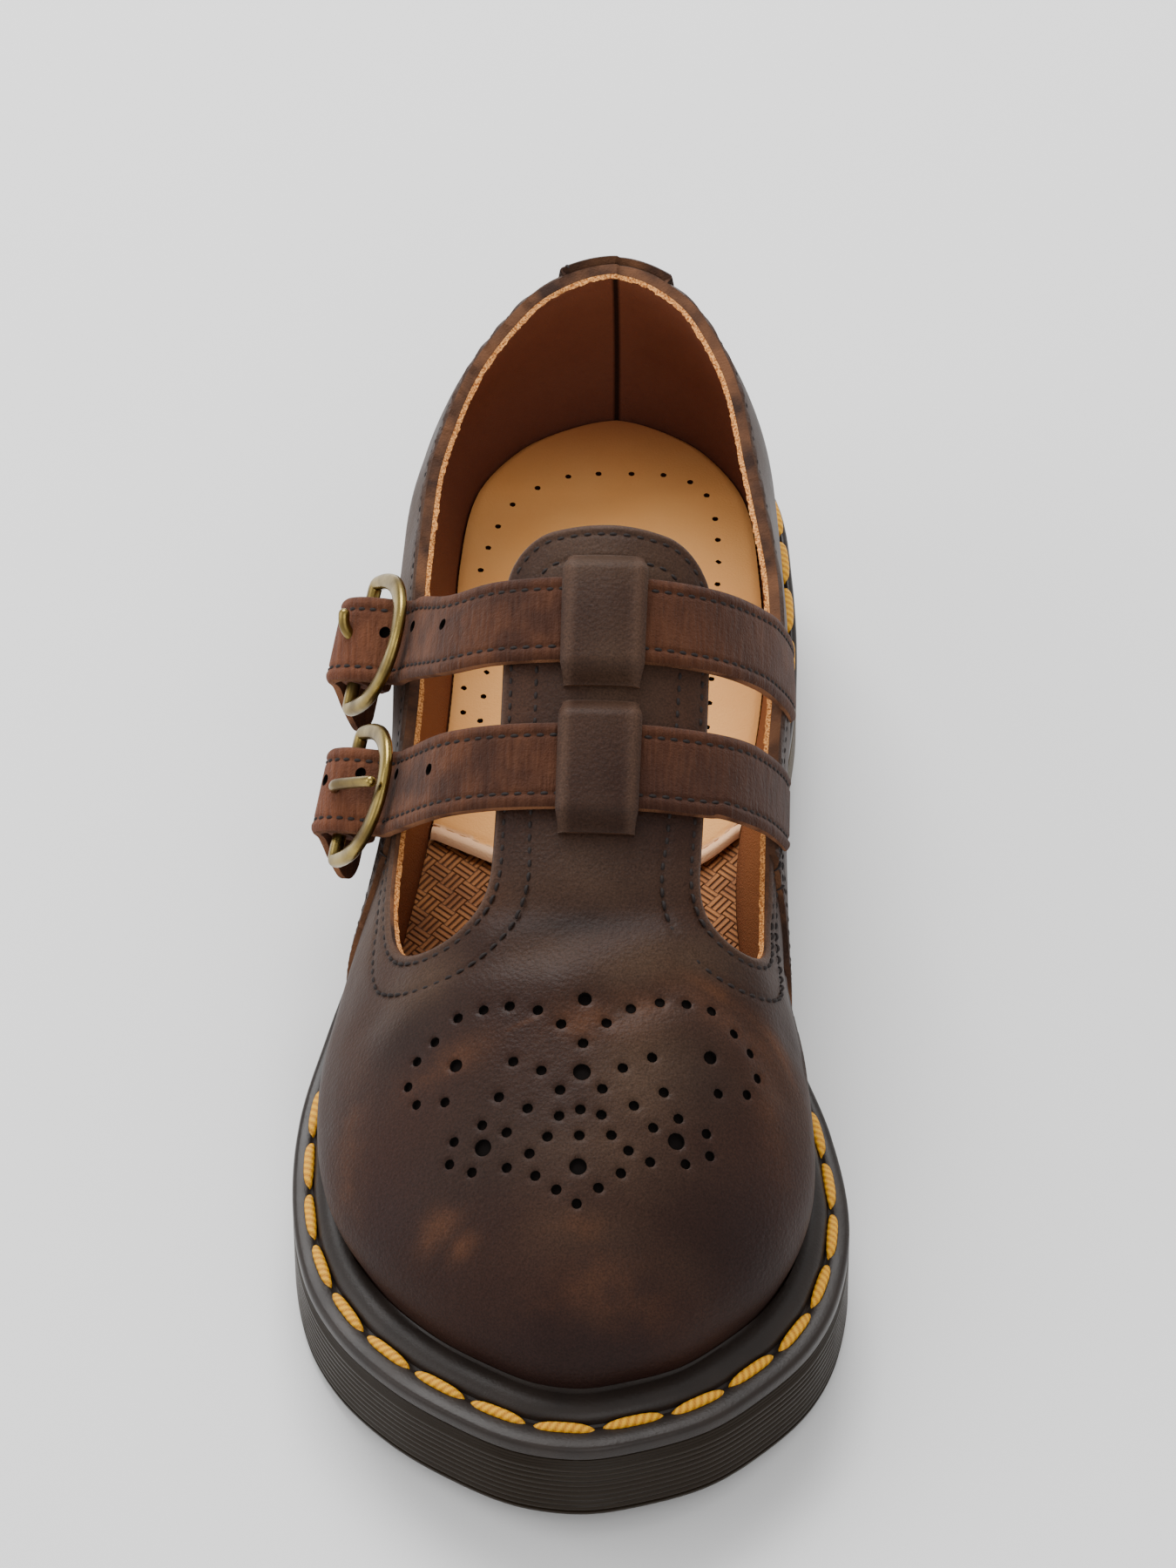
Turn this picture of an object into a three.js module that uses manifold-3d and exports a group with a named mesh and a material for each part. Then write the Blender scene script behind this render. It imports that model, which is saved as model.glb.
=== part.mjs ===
// A double-strap mary jane shoe for the right foot: a leather upper with a T-bar and two buckled
// straps, stitched to a welt on a ribbed rubber sole. It stands empty on its heel and forefoot.
// Millimetres, +Z up, toe towards -Y, buckle side (outer side of the foot) towards -X.
// The origin is on the floor under the middle of the heel.
import * as THREE from 'three';
import { mergeVertices } from 'three/addons/utils/BufferGeometryUtils.js';
import Module from 'manifold-3d';

const wasm = await Module();
wasm.setup();

// Driving sizes of the whole shoe
const soleLength = 268;
const heelBack = 36;
const ballWidth = 104;
const instepHeight = 100;
const collarHeight = 77;

// Sizes of single pieces
const fit = 0.3;
const upperWall = 2.2;
const quarterStep = 1.2;
const weltThickness = 3;
const weltWidth = 12.5;
const beadWidth = 5.6;
const beadRise = 3;
const ballHeight = 19.5;
const toeLift = 6.5;
const heelLift = 9.5;
const toeSpring = 6;
const archHeight = 11;
const ribCount = 6;
const ribDepth = 0.6;
const boardThickness = 2.5;
const sockThickness = 1.8;
const sockFront = 0.432;
const sockBulge = 12.5;
const sockSkew = 0.8;
const tBarHalfWidth = 19.6;
const tBarTop = 0.386;
const tBarCorner = 9;
const strapWidth = 16.6;
const strapThickness = 2;
const strapSlope = THREE.MathUtils.degToRad(30);
const loopWidth = 13.6;
const loopThickness = 1.5;
const loopMargin = 1.6;
const frameDepth = 18;
const frameWidth = 25.5;
const frameBarRadius = 1.3;
const frameBowRadius = 1.9;
const prongRadius = 1.1;
const stayWidth = 15;
const stayThickness = 1.5;
const backstayWidth = 28;
const backstayThickness = 1.7;

// The welt's plan, heel to toe: along is a share of the sole's length from the heel's back,
// outer and inner are shares of half the ball width towards the buckle side and the arch side.
const plan = [
  { along: 0.011, outer: 0.231, inner: 0.221 },
  { along: 0.041, outer: 0.462, inner: 0.442 },
  { along: 0.097, outer: 0.644, inner: 0.625 },
  { along: 0.179, outer: 0.702, inner: 0.698 },
  { along: 0.284, outer: 0.702, inner: 0.727 },
  { along: 0.381, outer: 0.731, inner: 0.688 },
  { along: 0.463, outer: 0.788, inner: 0.646 },
  { along: 0.537, outer: 0.860, inner: 0.677 },
  { along: 0.612, outer: 0.952, inner: 0.760 },
  { along: 0.690, outer: 1.031, inner: 0.904 },
  { along: 0.769, outer: 1.031, inner: 0.977 },
  { along: 0.840, outer: 0.962, inner: 0.948 },
  { along: 0.892, outer: 0.831, inner: 0.852 },
  { along: 0.937, outer: 0.629, inner: 0.677 },
  { along: 0.970, outer: 0.404, inner: 0.488 },
  { along: 0.993, outer: 0.183, inner: 0.221 },
];
const toeTipShare = 0.038;

// How far the upper's foot stands inside the welt's edge, as shares of the welt's width at the toe
const weltRows = [
  { along: 0.00, outer: 0.32, inner: 0.32 },
  { along: 0.30, outer: 0.34, inner: 0.30 },
  { along: 0.50, outer: 0.42, inner: 0.30 },
  { along: 0.60, outer: 0.53, inner: 0.36 },
  { along: 0.70, outer: 0.62, inner: 0.58 },
  { along: 0.80, outer: 0.70, inner: 0.70 },
  { along: 0.88, outer: 0.86, inner: 0.86 },
  { along: 1.00, outer: 1.00, inner: 1.00 },
];

// The line over the middle of the foot: height as a share of the instep height, side in mm
const ridgeRows = [
  { along: 0.000, height: 1.140, side: 0 },
  { along: 0.172, height: 1.120, side: 1 },
  { along: 0.284, height: 1.070, side: 2 },
  { along: 0.384, height: 0.995, side: 2.4 },
  { along: 0.451, height: 0.940, side: 2.5 },
  { along: 0.507, height: 0.880, side: 2.5 },
  { along: 0.563, height: 0.820, side: 2.4 },
  { along: 0.619, height: 0.760, side: 2 },
  { along: 0.675, height: 0.710, side: 1.4 },
  { along: 0.731, height: 0.670, side: 0.8 },
  { along: 0.787, height: 0.630, side: 0.6 },
  { along: 0.843, height: 0.590, side: 0.4 },
  { along: 0.918, height: 0.530, side: 0.3 },
  { along: 1.000, height: 0.465, side: 0.3 },
];
const ridgeHeel = 0.2;
const ridgeToe = 0.843;

// Each row is one section of the wall: how far out it stands at each level, as shares of the
// distance from the ridge line to the welt.
const levels = [0, 0.18, 0.38, 0.58, 0.76, 0.9, 0.975, 1];
const wallRows = [
  { along: 0.00, outer: [1, 1.03, 0.97, 0.84, 0.67, 0.48, 0.24, 0],
    inner: [1, 1.03, 0.97, 0.84, 0.67, 0.48, 0.24, 0] },
  { along: 0.08, outer: [1, 1.05, 0.96, 0.80, 0.62, 0.44, 0.22, 0],
    inner: [1, 1.00, 0.90, 0.74, 0.58, 0.41, 0.20, 0] },
  { along: 0.17, outer: [1, 1.12, 1.03, 0.86, 0.68, 0.48, 0.25, 0],
    inner: [1, 0.99, 0.89, 0.76, 0.60, 0.43, 0.22, 0] },
  { along: 0.24, outer: [1, 1.18, 1.09, 0.92, 0.74, 0.53, 0.27, 0],
    inner: [1, 1.00, 0.93, 0.82, 0.66, 0.48, 0.24, 0] },
  { along: 0.32, outer: [1, 1.20, 1.10, 0.93, 0.77, 0.55, 0.28, 0],
    inner: [1, 1.05, 1.02, 0.91, 0.75, 0.54, 0.27, 0] },
  { along: 0.47, outer: [1, 1.08, 1.02, 0.91, 0.77, 0.55, 0.29, 0],
    inner: [1, 1.20, 1.20, 1.08, 0.89, 0.64, 0.33, 0] },
  { along: 0.62, outer: [1, 1.08, 0.99, 0.84, 0.68, 0.49, 0.26, 0],
    inner: [1, 1.09, 1.09, 1.00, 0.85, 0.62, 0.33, 0] },
  { along: 0.75, outer: [1, 1.07, 1.01, 0.88, 0.71, 0.50, 0.27, 0],
    inner: [1, 1.05, 1.03, 0.93, 0.78, 0.56, 0.30, 0] },
  { along: 0.86, outer: [1, 1.04, 0.99, 0.87, 0.71, 0.50, 0.27, 0],
    inner: [1, 1.04, 1.00, 0.89, 0.73, 0.52, 0.28, 0] },
  { along: 1.00, outer: [1, 1.02, 0.98, 0.88, 0.72, 0.50, 0.27, 0],
    inner: [1, 1.02, 0.98, 0.88, 0.72, 0.50, 0.27, 0] },
];

// The collar's edge and the outer edge of the two cut-outs, as shares of the collar's height
const collarRows = [
  { along: 0.00, outer: 1.010, inner: 1.010 },
  { along: 0.06, outer: 0.990, inner: 0.980 },
  { along: 0.14, outer: 0.920, inner: 0.930 },
  { along: 0.22, outer: 0.840, inner: 0.870 },
  { along: 0.29, outer: 0.785, inner: 0.810 },
  { along: 0.37, outer: 0.745, inner: 0.765 },
  { along: 0.45, outer: 0.705, inner: 0.735 },
  { along: 0.52, outer: 0.675, inner: 0.720 },
  { along: 0.59, outer: 0.670, inner: 0.710 },
  { along: 0.66, outer: 0.700, inner: 0.720 },
];
const cutOutFront = 0.669;

// Where the quarter's front edge crosses a given height on each side, and how it leans
const quarterEdge = {
  outer: { along: 0.519, height: 50, lean: 1.2 },
  inner: { along: 0.545, height: 55, lean: 1.0 },
};

const sides = ['outer', 'inner'];

// Smooth curve through given points: value at x of the curve through (xs, ys)
function smooth(xs, ys, x) {
  const last = xs.length - 1;
  const at = THREE.MathUtils.clamp(x, xs[0], xs[last]);
  let i = 0;
  while (i < last - 1 && xs[i + 1] < at) i++;
  const slope = (k) => {
    const a = Math.max(k - 1, 0);
    const b = Math.min(k + 1, last);
    return (ys[b] - ys[a]) / (xs[b] - xs[a]);
  };
  const h = xs[i + 1] - xs[i];
  const t = (at - xs[i]) / h;
  const t2 = t * t;
  const t3 = t2 * t;
  return (2 * t3 - 3 * t2 + 1) * ys[i] + (t3 - 2 * t2 + t) * h * slope(i)
    + (3 * t2 - 2 * t3) * ys[i + 1] + (t3 - t2) * h * slope(i + 1);
}

function readRows(rows, column, along) {
  return smooth(rows.map((r) => r.along), rows.map((r) => r[column]), along);
}

function alongOf(y) {
  return (heelBack - y) / soleLength;
}

function yOf(along) {
  return heelBack - along * soleLength;
}

function steps(from, to, count) {
  return Array.from({ length: count + 1 }, (_, i) => from + ((to - from) * i) / count);
}

function solve(f, low, high) {
  let a = low;
  let b = high;
  const rising = f(high) > f(low);
  for (let k = 0; k < 40; k++) {
    const middle = (a + b) / 2;
    if (f(middle) > 0 === rising) b = middle;
    else a = middle;
  }
  return (a + b) / 2;
}

// One side of the welt's plan, as evenly stepped points from the heel's back to the toe's tip
function sideOutline(side) {
  const sign = { outer: -1, inner: 1 };
  const other = side === 'outer' ? 'inner' : 'outer';
  const half = ballWidth / 2;
  const place = (row, which) => [sign[which] * row[which] * half, yOf(row.along)];
  const last = plan.length - 1;
  const points = [
    place(plan[0], other), [0, yOf(0)],
    ...plan.map((row) => place(row, side)),
    [toeTipShare * half, yOf(1)], place(plan[last], other),
  ];
  const run = [0];
  for (let i = 1; i < points.length; i++) {
    run.push(run[i - 1] + Math.hypot(points[i][0] - points[i - 1][0], points[i][1] - points[i - 1][1]));
  }
  const fine = steps(run[1], run[run.length - 2], 600).map((s) => [
    smooth(run, points.map((p) => p[0]), s),
    smooth(run, points.map((p) => p[1]), s),
  ]);
  const length = [0];
  for (let i = 1; i < fine.length; i++) {
    length.push(length[i - 1] + Math.hypot(fine[i][0] - fine[i - 1][0], fine[i][1] - fine[i - 1][1]));
  }
  return { fine, length, total: length[length.length - 1] };
}

const outlines = { outer: sideOutline('outer'), inner: sideOutline('inner') };

function outlinePoint(side, u) {
  const { fine, length, total } = outlines[side];
  const s = THREE.MathUtils.clamp(u, 0, 1) * total;
  let low = 0;
  let high = length.length - 1;
  while (high - low > 1) {
    const middle = (low + high) >> 1;
    if (length[middle] > s) high = middle;
    else low = middle;
  }
  const t = (s - length[low]) / (length[high] - length[low]);
  return [0, 1].map((k) => fine[low][k] + (fine[high][k] - fine[low][k]) * t);
}

// A point inside the welt's edge by the given inset, measured square to the edge
function insetPoint(side, u, inset) {
  const delta = 0.004;
  const [x, y] = outlinePoint(side, u);
  const [x0, y0] = outlinePoint(side, u - delta);
  const [x1, y1] = outlinePoint(side, u + delta);
  let tx = x1 - x0;
  let ty = y1 - y0;
  if (u < delta || u > 1 - delta) {
    tx = side === 'outer' ? -Math.sign(0.5 - u) : Math.sign(0.5 - u);
    ty = 0;
  }
  const length = Math.hypot(tx, ty);
  const turn = side === 'outer' ? 1 : -1;
  return [x - (turn * ty * inset) / length, y + (turn * tx * inset) / length];
}

// Heights along the shoe: the welt is lowest at the ball and rises to the heel and the toe
const ballAlong = 0.694;
const heelSeat = 0.209;
const toeCurve = 1.8;

function weltTop(along) {
  const toward = THREE.MathUtils.clamp((along - ballAlong) / (1 - ballAlong), 0, 1);
  const behind = THREE.MathUtils.clamp((ballAlong - along) / (ballAlong - heelSeat), 0, 1);
  return ballHeight + toeLift * toward ** toeCurve + heelLift * behind;
}

function soleTop(along) {
  return weltTop(along) - weltThickness - fit;
}

const heelBreast = 0.235;
const breastRun = 0.015;
const archFront = 0.555;
const springFrom = 0.77;
const bottomRows = [
  { along: 0.265, height: 0.78 },
  { along: 0.34, height: 1.00 },
  { along: 0.42, height: 0.80 },
  { along: 0.50, height: 0.28 },
  { along: archFront, height: 0 },
];

function soleBottom(along) {
  if (along < heelBreast) return 0;
  const breast = THREE.MathUtils.clamp((along - heelBreast) / breastRun, 0, 1);
  const hollow = along > archFront ? 0 : Math.max(readRows(bottomRows, 'height', along), 0);
  const arch = archHeight * hollow;
  const spring = THREE.MathUtils.clamp((along - springFrom) / (1 - springFrom), 0, 1);
  return breast * arch + toeSpring * spring ** 2;
}

function weltInset(side, u) {
  const along = alongOf(outlinePoint(side, u)[1]);
  return weltWidth * readRows(weltRows, side, along);
}

// The place of a station u along the shoe, the same for both sides
function stationAlong(u) {
  const [a, b] = sides.map((side) => alongOf(outlinePoint(side, u)[1]));
  return (a + b) / 2;
}

function ridgeHeight(along) {
  return instepHeight * readRows(ridgeRows, 'height', along);
}

function ridgeSide(along) {
  return readRows(ridgeRows, 'side', along);
}

// The shape of the last: side, station u from heel to toe, and level from the welt (0) to the
// ridge line (1). Levels from -1 to 0 are the upright foot of the wall inside the welt.
const levelSteps = levels.map((_, k) => k / (levels.length - 1));
const levelStepsOver = [...levelSteps, 1 + levelSteps[1]];
const levelsOver = [...levels, levels[levels.length - 2]];

function lastPoint(side, u, level) {
  const [fx, fy] = insetPoint(side, u, weltInset(side, u) + fit);
  const footAlong = alongOf(fy);
  const top = weltTop(footAlong) + beadRise;
  if (level < 0) {
    const foot = soleTop(footAlong) + fit;
    return new THREE.Vector3(fx, fy, top + (foot - top) * -level);
  }
  const station = stationAlong(u);
  const over = ridgeHeel + (ridgeToe - ridgeHeel) * station;
  const shares = levels.map((_, k) => smooth(
    wallRows.map((r) => r.along), wallRows.map((r) => r[side][k]), station));
  const out = smooth(levelStepsOver, [...shares, -shares[levels.length - 2]], level);
  const rise = smooth(levelStepsOver, levelsOver, level);
  const rx = ridgeSide(over);
  const ry = yOf(over);
  const x = rx + (fx - rx) * out;
  const y = ry + (fy - ry) * out;
  const z = top + (ridgeHeight(alongOf(y)) - top) * rise;
  return new THREE.Vector3(x, y, z);
}

function lastNormal(side, u, level) {
  const d = 0.004;
  const a = lastPoint(side, Math.min(u + d, 1), level).sub(lastPoint(side, Math.max(u - d, 0), level));
  const b = lastPoint(side, u, Math.min(level + d, 1)).sub(lastPoint(side, u, level - d));
  const n = side === 'outer' ? a.cross(b) : b.cross(a);
  return n.normalize();
}

// Closed solids from loose triangles
function solidGeometry(triangles) {
  const positions = new Float32Array(triangles.length * 9);
  triangles.forEach((t, i) => t.forEach((p, k) => p.toArray(positions, i * 9 + k * 3)));
  const loose = new THREE.BufferGeometry();
  loose.setAttribute('position', new THREE.BufferAttribute(positions, 3));
  const merged = mergeVertices(loose, 1e-3);
  const index = merged.getIndex().array;
  const kept = [];
  for (let i = 0; i < index.length; i += 3) {
    const [a, b, c] = [index[i], index[i + 1], index[i + 2]];
    if (a !== b && b !== c && c !== a) kept.push(a, b, c);
  }
  merged.setIndex(enclosed(merged, kept) < 0 ? kept.reverse() : kept);
  return merged;
}

// Volume that an index of triangles encloses, below nought where its faces point inwards
function enclosed(geometry, index) {
  const at = (k) => new THREE.Vector3().fromBufferAttribute(geometry.getAttribute('position'), k);
  let volume = 0;
  for (let i = 0; i < index.length; i += 3) {
    volume += at(index[i]).dot(at(index[i + 1]).cross(at(index[i + 2]))) / 6;
  }
  return volume;
}

function toManifold(geometry) {
  return new wasm.Manifold(new wasm.Mesh({
    numProp: 3,
    vertProperties: Float32Array.from(geometry.getAttribute('position').array),
    triVerts: Uint32Array.from(geometry.getIndex().array),
  }));
}

function fromManifold(solid) {
  const mesh = solid.getMesh();
  const geometry = new THREE.BufferGeometry();
  geometry.setAttribute('position', new THREE.BufferAttribute(Float32Array.from(mesh.vertProperties), 3));
  geometry.setIndex(Array.from(mesh.triVerts));
  return geometry;
}

function quad(out, a, b, c, d) {
  if (a.distanceTo(c) <= b.distanceTo(d)) out.push([a, b, c], [a, c, d]);
  else out.push([a, b, d], [b, c, d]);
}

// A slab between two grids of points: place(i, j, 0) is the under side and place(i, j, 1) the top.
// Seen from the top, i runs away and j runs to the left.
function slabTriangles(rows, columns, place) {
  const triangles = [];
  const at = [0, 1].map((face) => steps(0, rows, rows).map((i) => steps(0, columns, columns)
    .map((j) => place(Math.round(i), Math.round(j), face))));
  for (let i = 0; i < rows; i++) {
    for (let j = 0; j < columns; j++) {
      quad(triangles, at[1][i][j], at[1][i + 1][j], at[1][i + 1][j + 1], at[1][i][j + 1]);
      quad(triangles, at[0][i][j], at[0][i][j + 1], at[0][i + 1][j + 1], at[0][i + 1][j]);
    }
    quad(triangles, at[0][i][0], at[0][i + 1][0], at[1][i + 1][0], at[1][i][0]);
    quad(triangles, at[1][i][columns], at[1][i + 1][columns], at[0][i + 1][columns], at[0][i][columns]);
  }
  for (let j = 0; j < columns; j++) {
    quad(triangles, at[1][0][j], at[1][0][j + 1], at[0][0][j + 1], at[0][0][j]);
    quad(triangles, at[0][rows][j], at[0][rows][j + 1], at[1][rows][j + 1], at[1][rows][j]);
  }
  return triangles;
}

// Loops around the shoe at given insets and heights, joined into a closed wall. Each loop is a
// function of side and station; ends 'cap' closes top and bottom, 'ring' joins last to first.
function loopSolid(stations, loops, ends) {
  const triangles = [];
  const points = loops.map((loop) => Object.fromEntries(
    sides.map((side) => [side, stations.map((u) => loop(side, u))])));
  const count = ends === 'ring' ? loops.length : loops.length - 1;
  for (let k = 0; k < count; k++) {
    const a = points[k];
    const b = points[(k + 1) % loops.length];
    for (let i = 0; i < stations.length - 1; i++) {
      quad(triangles, a.outer[i], b.outer[i], b.outer[i + 1], a.outer[i + 1]);
      quad(triangles, a.inner[i], a.inner[i + 1], b.inner[i + 1], b.inner[i]);
    }
  }
  if (ends === 'cap') {
    const top = points[0];
    const bottom = points[loops.length - 1];
    for (let i = 0; i < stations.length - 1; i++) {
      quad(triangles, top.outer[i], top.outer[i + 1], top.inner[i + 1], top.inner[i]);
      quad(triangles, bottom.outer[i], bottom.inner[i], bottom.inner[i + 1], bottom.outer[i + 1]);
    }
  }
  return triangles;
}

function loopAt(insetOf, heightOf) {
  return (side, u) => {
    const [x, y] = insetPoint(side, u, insetOf(side, u));
    return new THREE.Vector3(x, y, heightOf(alongOf(outlinePoint(side, u)[1]), alongOf(y)));
  };
}

function stationAt(along) {
  return solve((u) => stationAlong(u) - along, 0, 1);
}

// Sole: ribbed sides, a heel with an upright breast, a hollow arch and a sprung toe
function soleGeometry() {
  const stations = [...steps(0, 1, 32), stationAt(heelBreast - 0.002), stationAt(heelBreast + breastRun + 0.003)]
    .sort((a, b) => a - b);
  const profile = [{ inset: 0.5, down: 0 }, { inset: 0, down: 0.05 }];
  const ribTop = 0.14;
  const ribBottom = 0.86;
  for (let k = 0; k < ribCount; k++) {
    const at = ribTop + ((ribBottom - ribTop) * k) / ribCount;
    const pitch = (ribBottom - ribTop) / ribCount;
    profile.push({ inset: ribDepth, down: at }, { inset: 0.1, down: at + pitch * 0.6 });
  }
  profile.push({ inset: 0.3, down: 0.9 }, { inset: 2.2, down: 1 });
  const loops = profile.map(({ inset, down }) => loopAt(
    () => inset,
    (edge) => soleTop(edge) + (soleBottom(edge) - soleTop(edge)) * down,
  ));
  return solidGeometry(loopSolid(stations, loops, 'cap'));
}

// Cross grooves of the tread, kept inside a plain border
const treadGrooves = { forefoot: [0.60, 0.86, 7], heel: [0.05, 0.20, 4] };
const grooveWidth = 4;
const grooveDepth = 2;
const treadBorder = 9;

function grooveGeometry(along) {
  const u = stationAt(along);
  const y = yOf(along);
  const left = outlinePoint('outer', u)[0] + treadBorder;
  const right = outlinePoint('inner', u)[0] - treadBorder;
  const below = 4;
  const height = below + soleBottom(along) + grooveDepth;
  const box = new THREE.BoxGeometry(right - left, grooveWidth, height);
  box.translate((left + right) / 2, y, height / 2 - below);
  box.deleteAttribute('normal');
  box.deleteAttribute('uv');
  return mergeVertices(box, 1e-3);
}

function treadedSole() {
  let sole = toManifold(soleGeometry());
  for (const [from, to, count] of Object.values(treadGrooves)) {
    for (const along of steps(from, to, count - 1)) {
      sole = sole.subtract(toManifold(grooveGeometry(along)));
    }
  }
  return fromManifold(sole);
}

// Welt: a flat leather strip on the sole's edge with a raised bead against the upper
function weltGeometry() {
  const bead = (side, u) => Math.min(beadWidth, weltInset(side, u) * 0.5);
  const edge = (inset, rise) => loopAt(() => inset, (along) => weltTop(along) + rise);
  const nearUpper = (share, rise) => loopAt(
    (side, u) => weltInset(side, u) - bead(side, u) * share,
    (along, own) => weltTop(own) + rise,
  );
  const loops = [
    edge(0, -weltThickness), nearUpper(0, -weltThickness), nearUpper(0, beadRise),
    nearUpper(0.3, beadRise * 0.92), nearUpper(0.75, beadRise * 0.5), nearUpper(1, 0),
    edge(0.6, 0), edge(0, -0.7),
  ];
  return solidGeometry(loopSolid(steps(0, 1, 36), loops, 'ring'));
}

// Insole board over the whole foot, and the padded sock that ends at the waist in a curve, which
// reaches further forward on the arch side
function innerInset(side, u, clearance) {
  return weltInset(side, u) + fit + upperWall + clearance;
}

function boardGeometry() {
  const bottom = (along) => soleTop(along) + fit;
  const loops = [boardThickness, 0].map((rise) => loopAt(
    (side, u) => innerInset(side, u, fit),
    (edge, own) => bottom(own) + rise,
  ));
  return solidGeometry(loopSolid(steps(0, 1, 36), loops, 'cap'));
}

function sockGeometry() {
  const rows = 18;
  const columns = 5;
  const end = stationAt(sockFront);
  const place = (i, j, face) => {
    const u = (end * i) / rows;
    const [ax, ay] = insetPoint('outer', u, innerInset('outer', u, 2.5 * fit));
    const [bx, by] = insetPoint('inner', u, innerInset('inner', u, 2.5 * fit));
    const across = j / columns;
    const x = ax + (bx - ax) * across;
    const skew = 1 + sockSkew * (across - 0.5);
    const bulge = 4 * across * (1 - across) * skew * sockBulge * (i / rows) ** 6;
    const y = ay + (by - ay) * across - bulge;
    const under = soleTop(alongOf(y)) + fit + boardThickness + fit;
    return new THREE.Vector3(x, y, under + face * sockThickness);
  };
  return solidGeometry(slabTriangles(rows, columns, place));
}

// The prongs hook from the bar up through the strap: the front one rests on the bow, and the rear
// one stands bent back along the bar.
const prongHook = [
  { a: 0, b: 0.2, c: -2.8 },
  { a: 0, b: 2.7, c: -1.6 },
  { a: 0, b: 3.4, c: 1.2 },
];
const prongWays = {
  front: [...prongHook, { a: 0, b: 4.8, c: 4.4 }, { a: 0, b: 7.5, c: 5.6 }, { a: 0, b: 12.5, c: 4.8 },
    { a: 0, b: 18, c: 3.4 }, { a: 0, b: 20.2, c: 2.6 }],
  rear: [...prongHook, { a: 0.4, b: 4.4, c: 4.2 }, { a: 2, b: 5, c: 6.2 }, { a: 5, b: 5.6, c: 7.2 }],
};

// Straps lie in bands between planes that lean back with the instep
const strapAxis = new THREE.Vector3(0, Math.cos(strapSlope), Math.sin(strapSlope));
// Each strap's place on the ridge line, its buckle's height as a share of the collar's and its
// shift back along the strap's width, how far the bar stands off the foot, and the tail's drop
const straps = {
  front: { ridgeAlong: 0.561, barHeight: 0.597, barShift: 2.8, standOff: 8.9, tail: 13 },
  rear: { ridgeAlong: 0.459, barHeight: 0.701, barShift: 5.5, standOff: 9.3, tail: 14 },
};

for (const [name, strap] of Object.entries(straps)) {
  strap.prongWay = prongWays[name];
  const top = new THREE.Vector3(0, yOf(strap.ridgeAlong), ridgeHeight(strap.ridgeAlong));
  strap.plane = top.dot(strapAxis);
}

// Smooth lesser of two distances, with a rounding of the given size
function lesser(a, b, round) {
  const h = Math.max(round - Math.abs(a - b), 0) / round;
  return Math.min(a, b) - (h * h * round) / 4;
}

// How far each corner of the openings is rounded
const rounding = { collar: 6, front: 14 };

// Positive where the upper is open: above the collar and beside the T-bar
function openAt(p) {
  const along = alongOf(p.y);
  const side = p.x < ridgeSide(along) ? 'outer' : 'inner';
  const above = p.z - collarHeight * readRows(collarRows, side, along);
  const off = Math.abs(p.x - ridgeSide(along));
  const cornerX = Math.max(off - (tBarHalfWidth - tBarCorner), 0);
  const cornerY = Math.max(p.y - (yOf(tBarTop) - tBarCorner), 0);
  const beside = cornerY > 0 ? Math.hypot(cornerX, cornerY) - tBarCorner : off - tBarHalfWidth;
  const behind = p.y - yOf(cutOutFront);
  return lesser(lesser(above, beside, rounding.collar), behind, rounding.front);
}

// Positive on the quarters, whose leather lies over the vamp. They keep clear of the T-bar and the
// welt, and meet behind the heel.
const quarterClear = 2;
const quarterFoot = 1;
const quarterBack = 0.3;

function quarterAt(p) {
  const along = alongOf(p.y);
  const side = p.x < ridgeSide(along) ? 'outer' : 'inner';
  const edge = quarterEdge[side];
  const behind = p.y - (yOf(edge.along) + (p.z - edge.height) * edge.lean);
  const fromTBar = Math.abs(p.x - ridgeSide(along)) - (tBarHalfWidth + quarterClear);
  const off = Math.max(fromTBar, p.y - yOf(quarterBack));
  const overWelt = p.z - weltTop(along) - beadRise - quarterFoot;
  return Math.min(behind, off, overWelt);
}

// Cuts an open mesh along the line where f is nought, sharing the new points between both parts
function splitSheet(sheet, f) {
  const least = 0.08;
  const values = sheet.points.map((p) => {
    const v = f(p);
    return Math.abs(v) < least ? (v < 0 ? -least : least) : v;
  });
  const made = new Map();
  const crossing = (a, b) => {
    const key = a < b ? `${a},${b}` : `${b},${a}`;
    if (!made.has(key)) {
      const [low, high] = values[a] < 0 ? [a, b] : [b, a];
      const at = (t) => new THREE.Vector3().lerpVectors(sheet.points[low], sheet.points[high], t);
      const t = THREE.MathUtils.clamp(solve((s) => f(at(s)), 0, 1), 0.02, 0.98);
      made.set(key, sheet.points.length);
      sheet.points.push(at(t));
      sheet.normals.push(new THREE.Vector3()
        .lerpVectors(sheet.normals[low], sheet.normals[high], t).normalize());
    }
    return made.get(key);
  };
  const parts = { below: [], above: [] };
  for (const face of sheet.faces) {
    const signs = face.map((k) => values[k] > 0);
    const positives = signs.filter(Boolean).length;
    if (positives === 0 || positives === 3) {
      parts[positives ? 'above' : 'below'].push(face);
      continue;
    }
    const lone = signs.indexOf(positives === 1);
    const [a, b, c] = [0, 1, 2].map((k) => face[(lone + k) % 3]);
    const ab = crossing(a, b);
    const ca = crossing(c, a);
    const mine = positives === 1 ? 'above' : 'below';
    const theirs = positives === 1 ? 'below' : 'above';
    parts[mine].push([a, ab, ca]);
    parts[theirs].push([ab, b, c], [ab, c, ca]);
  }
  return parts;
}

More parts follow.
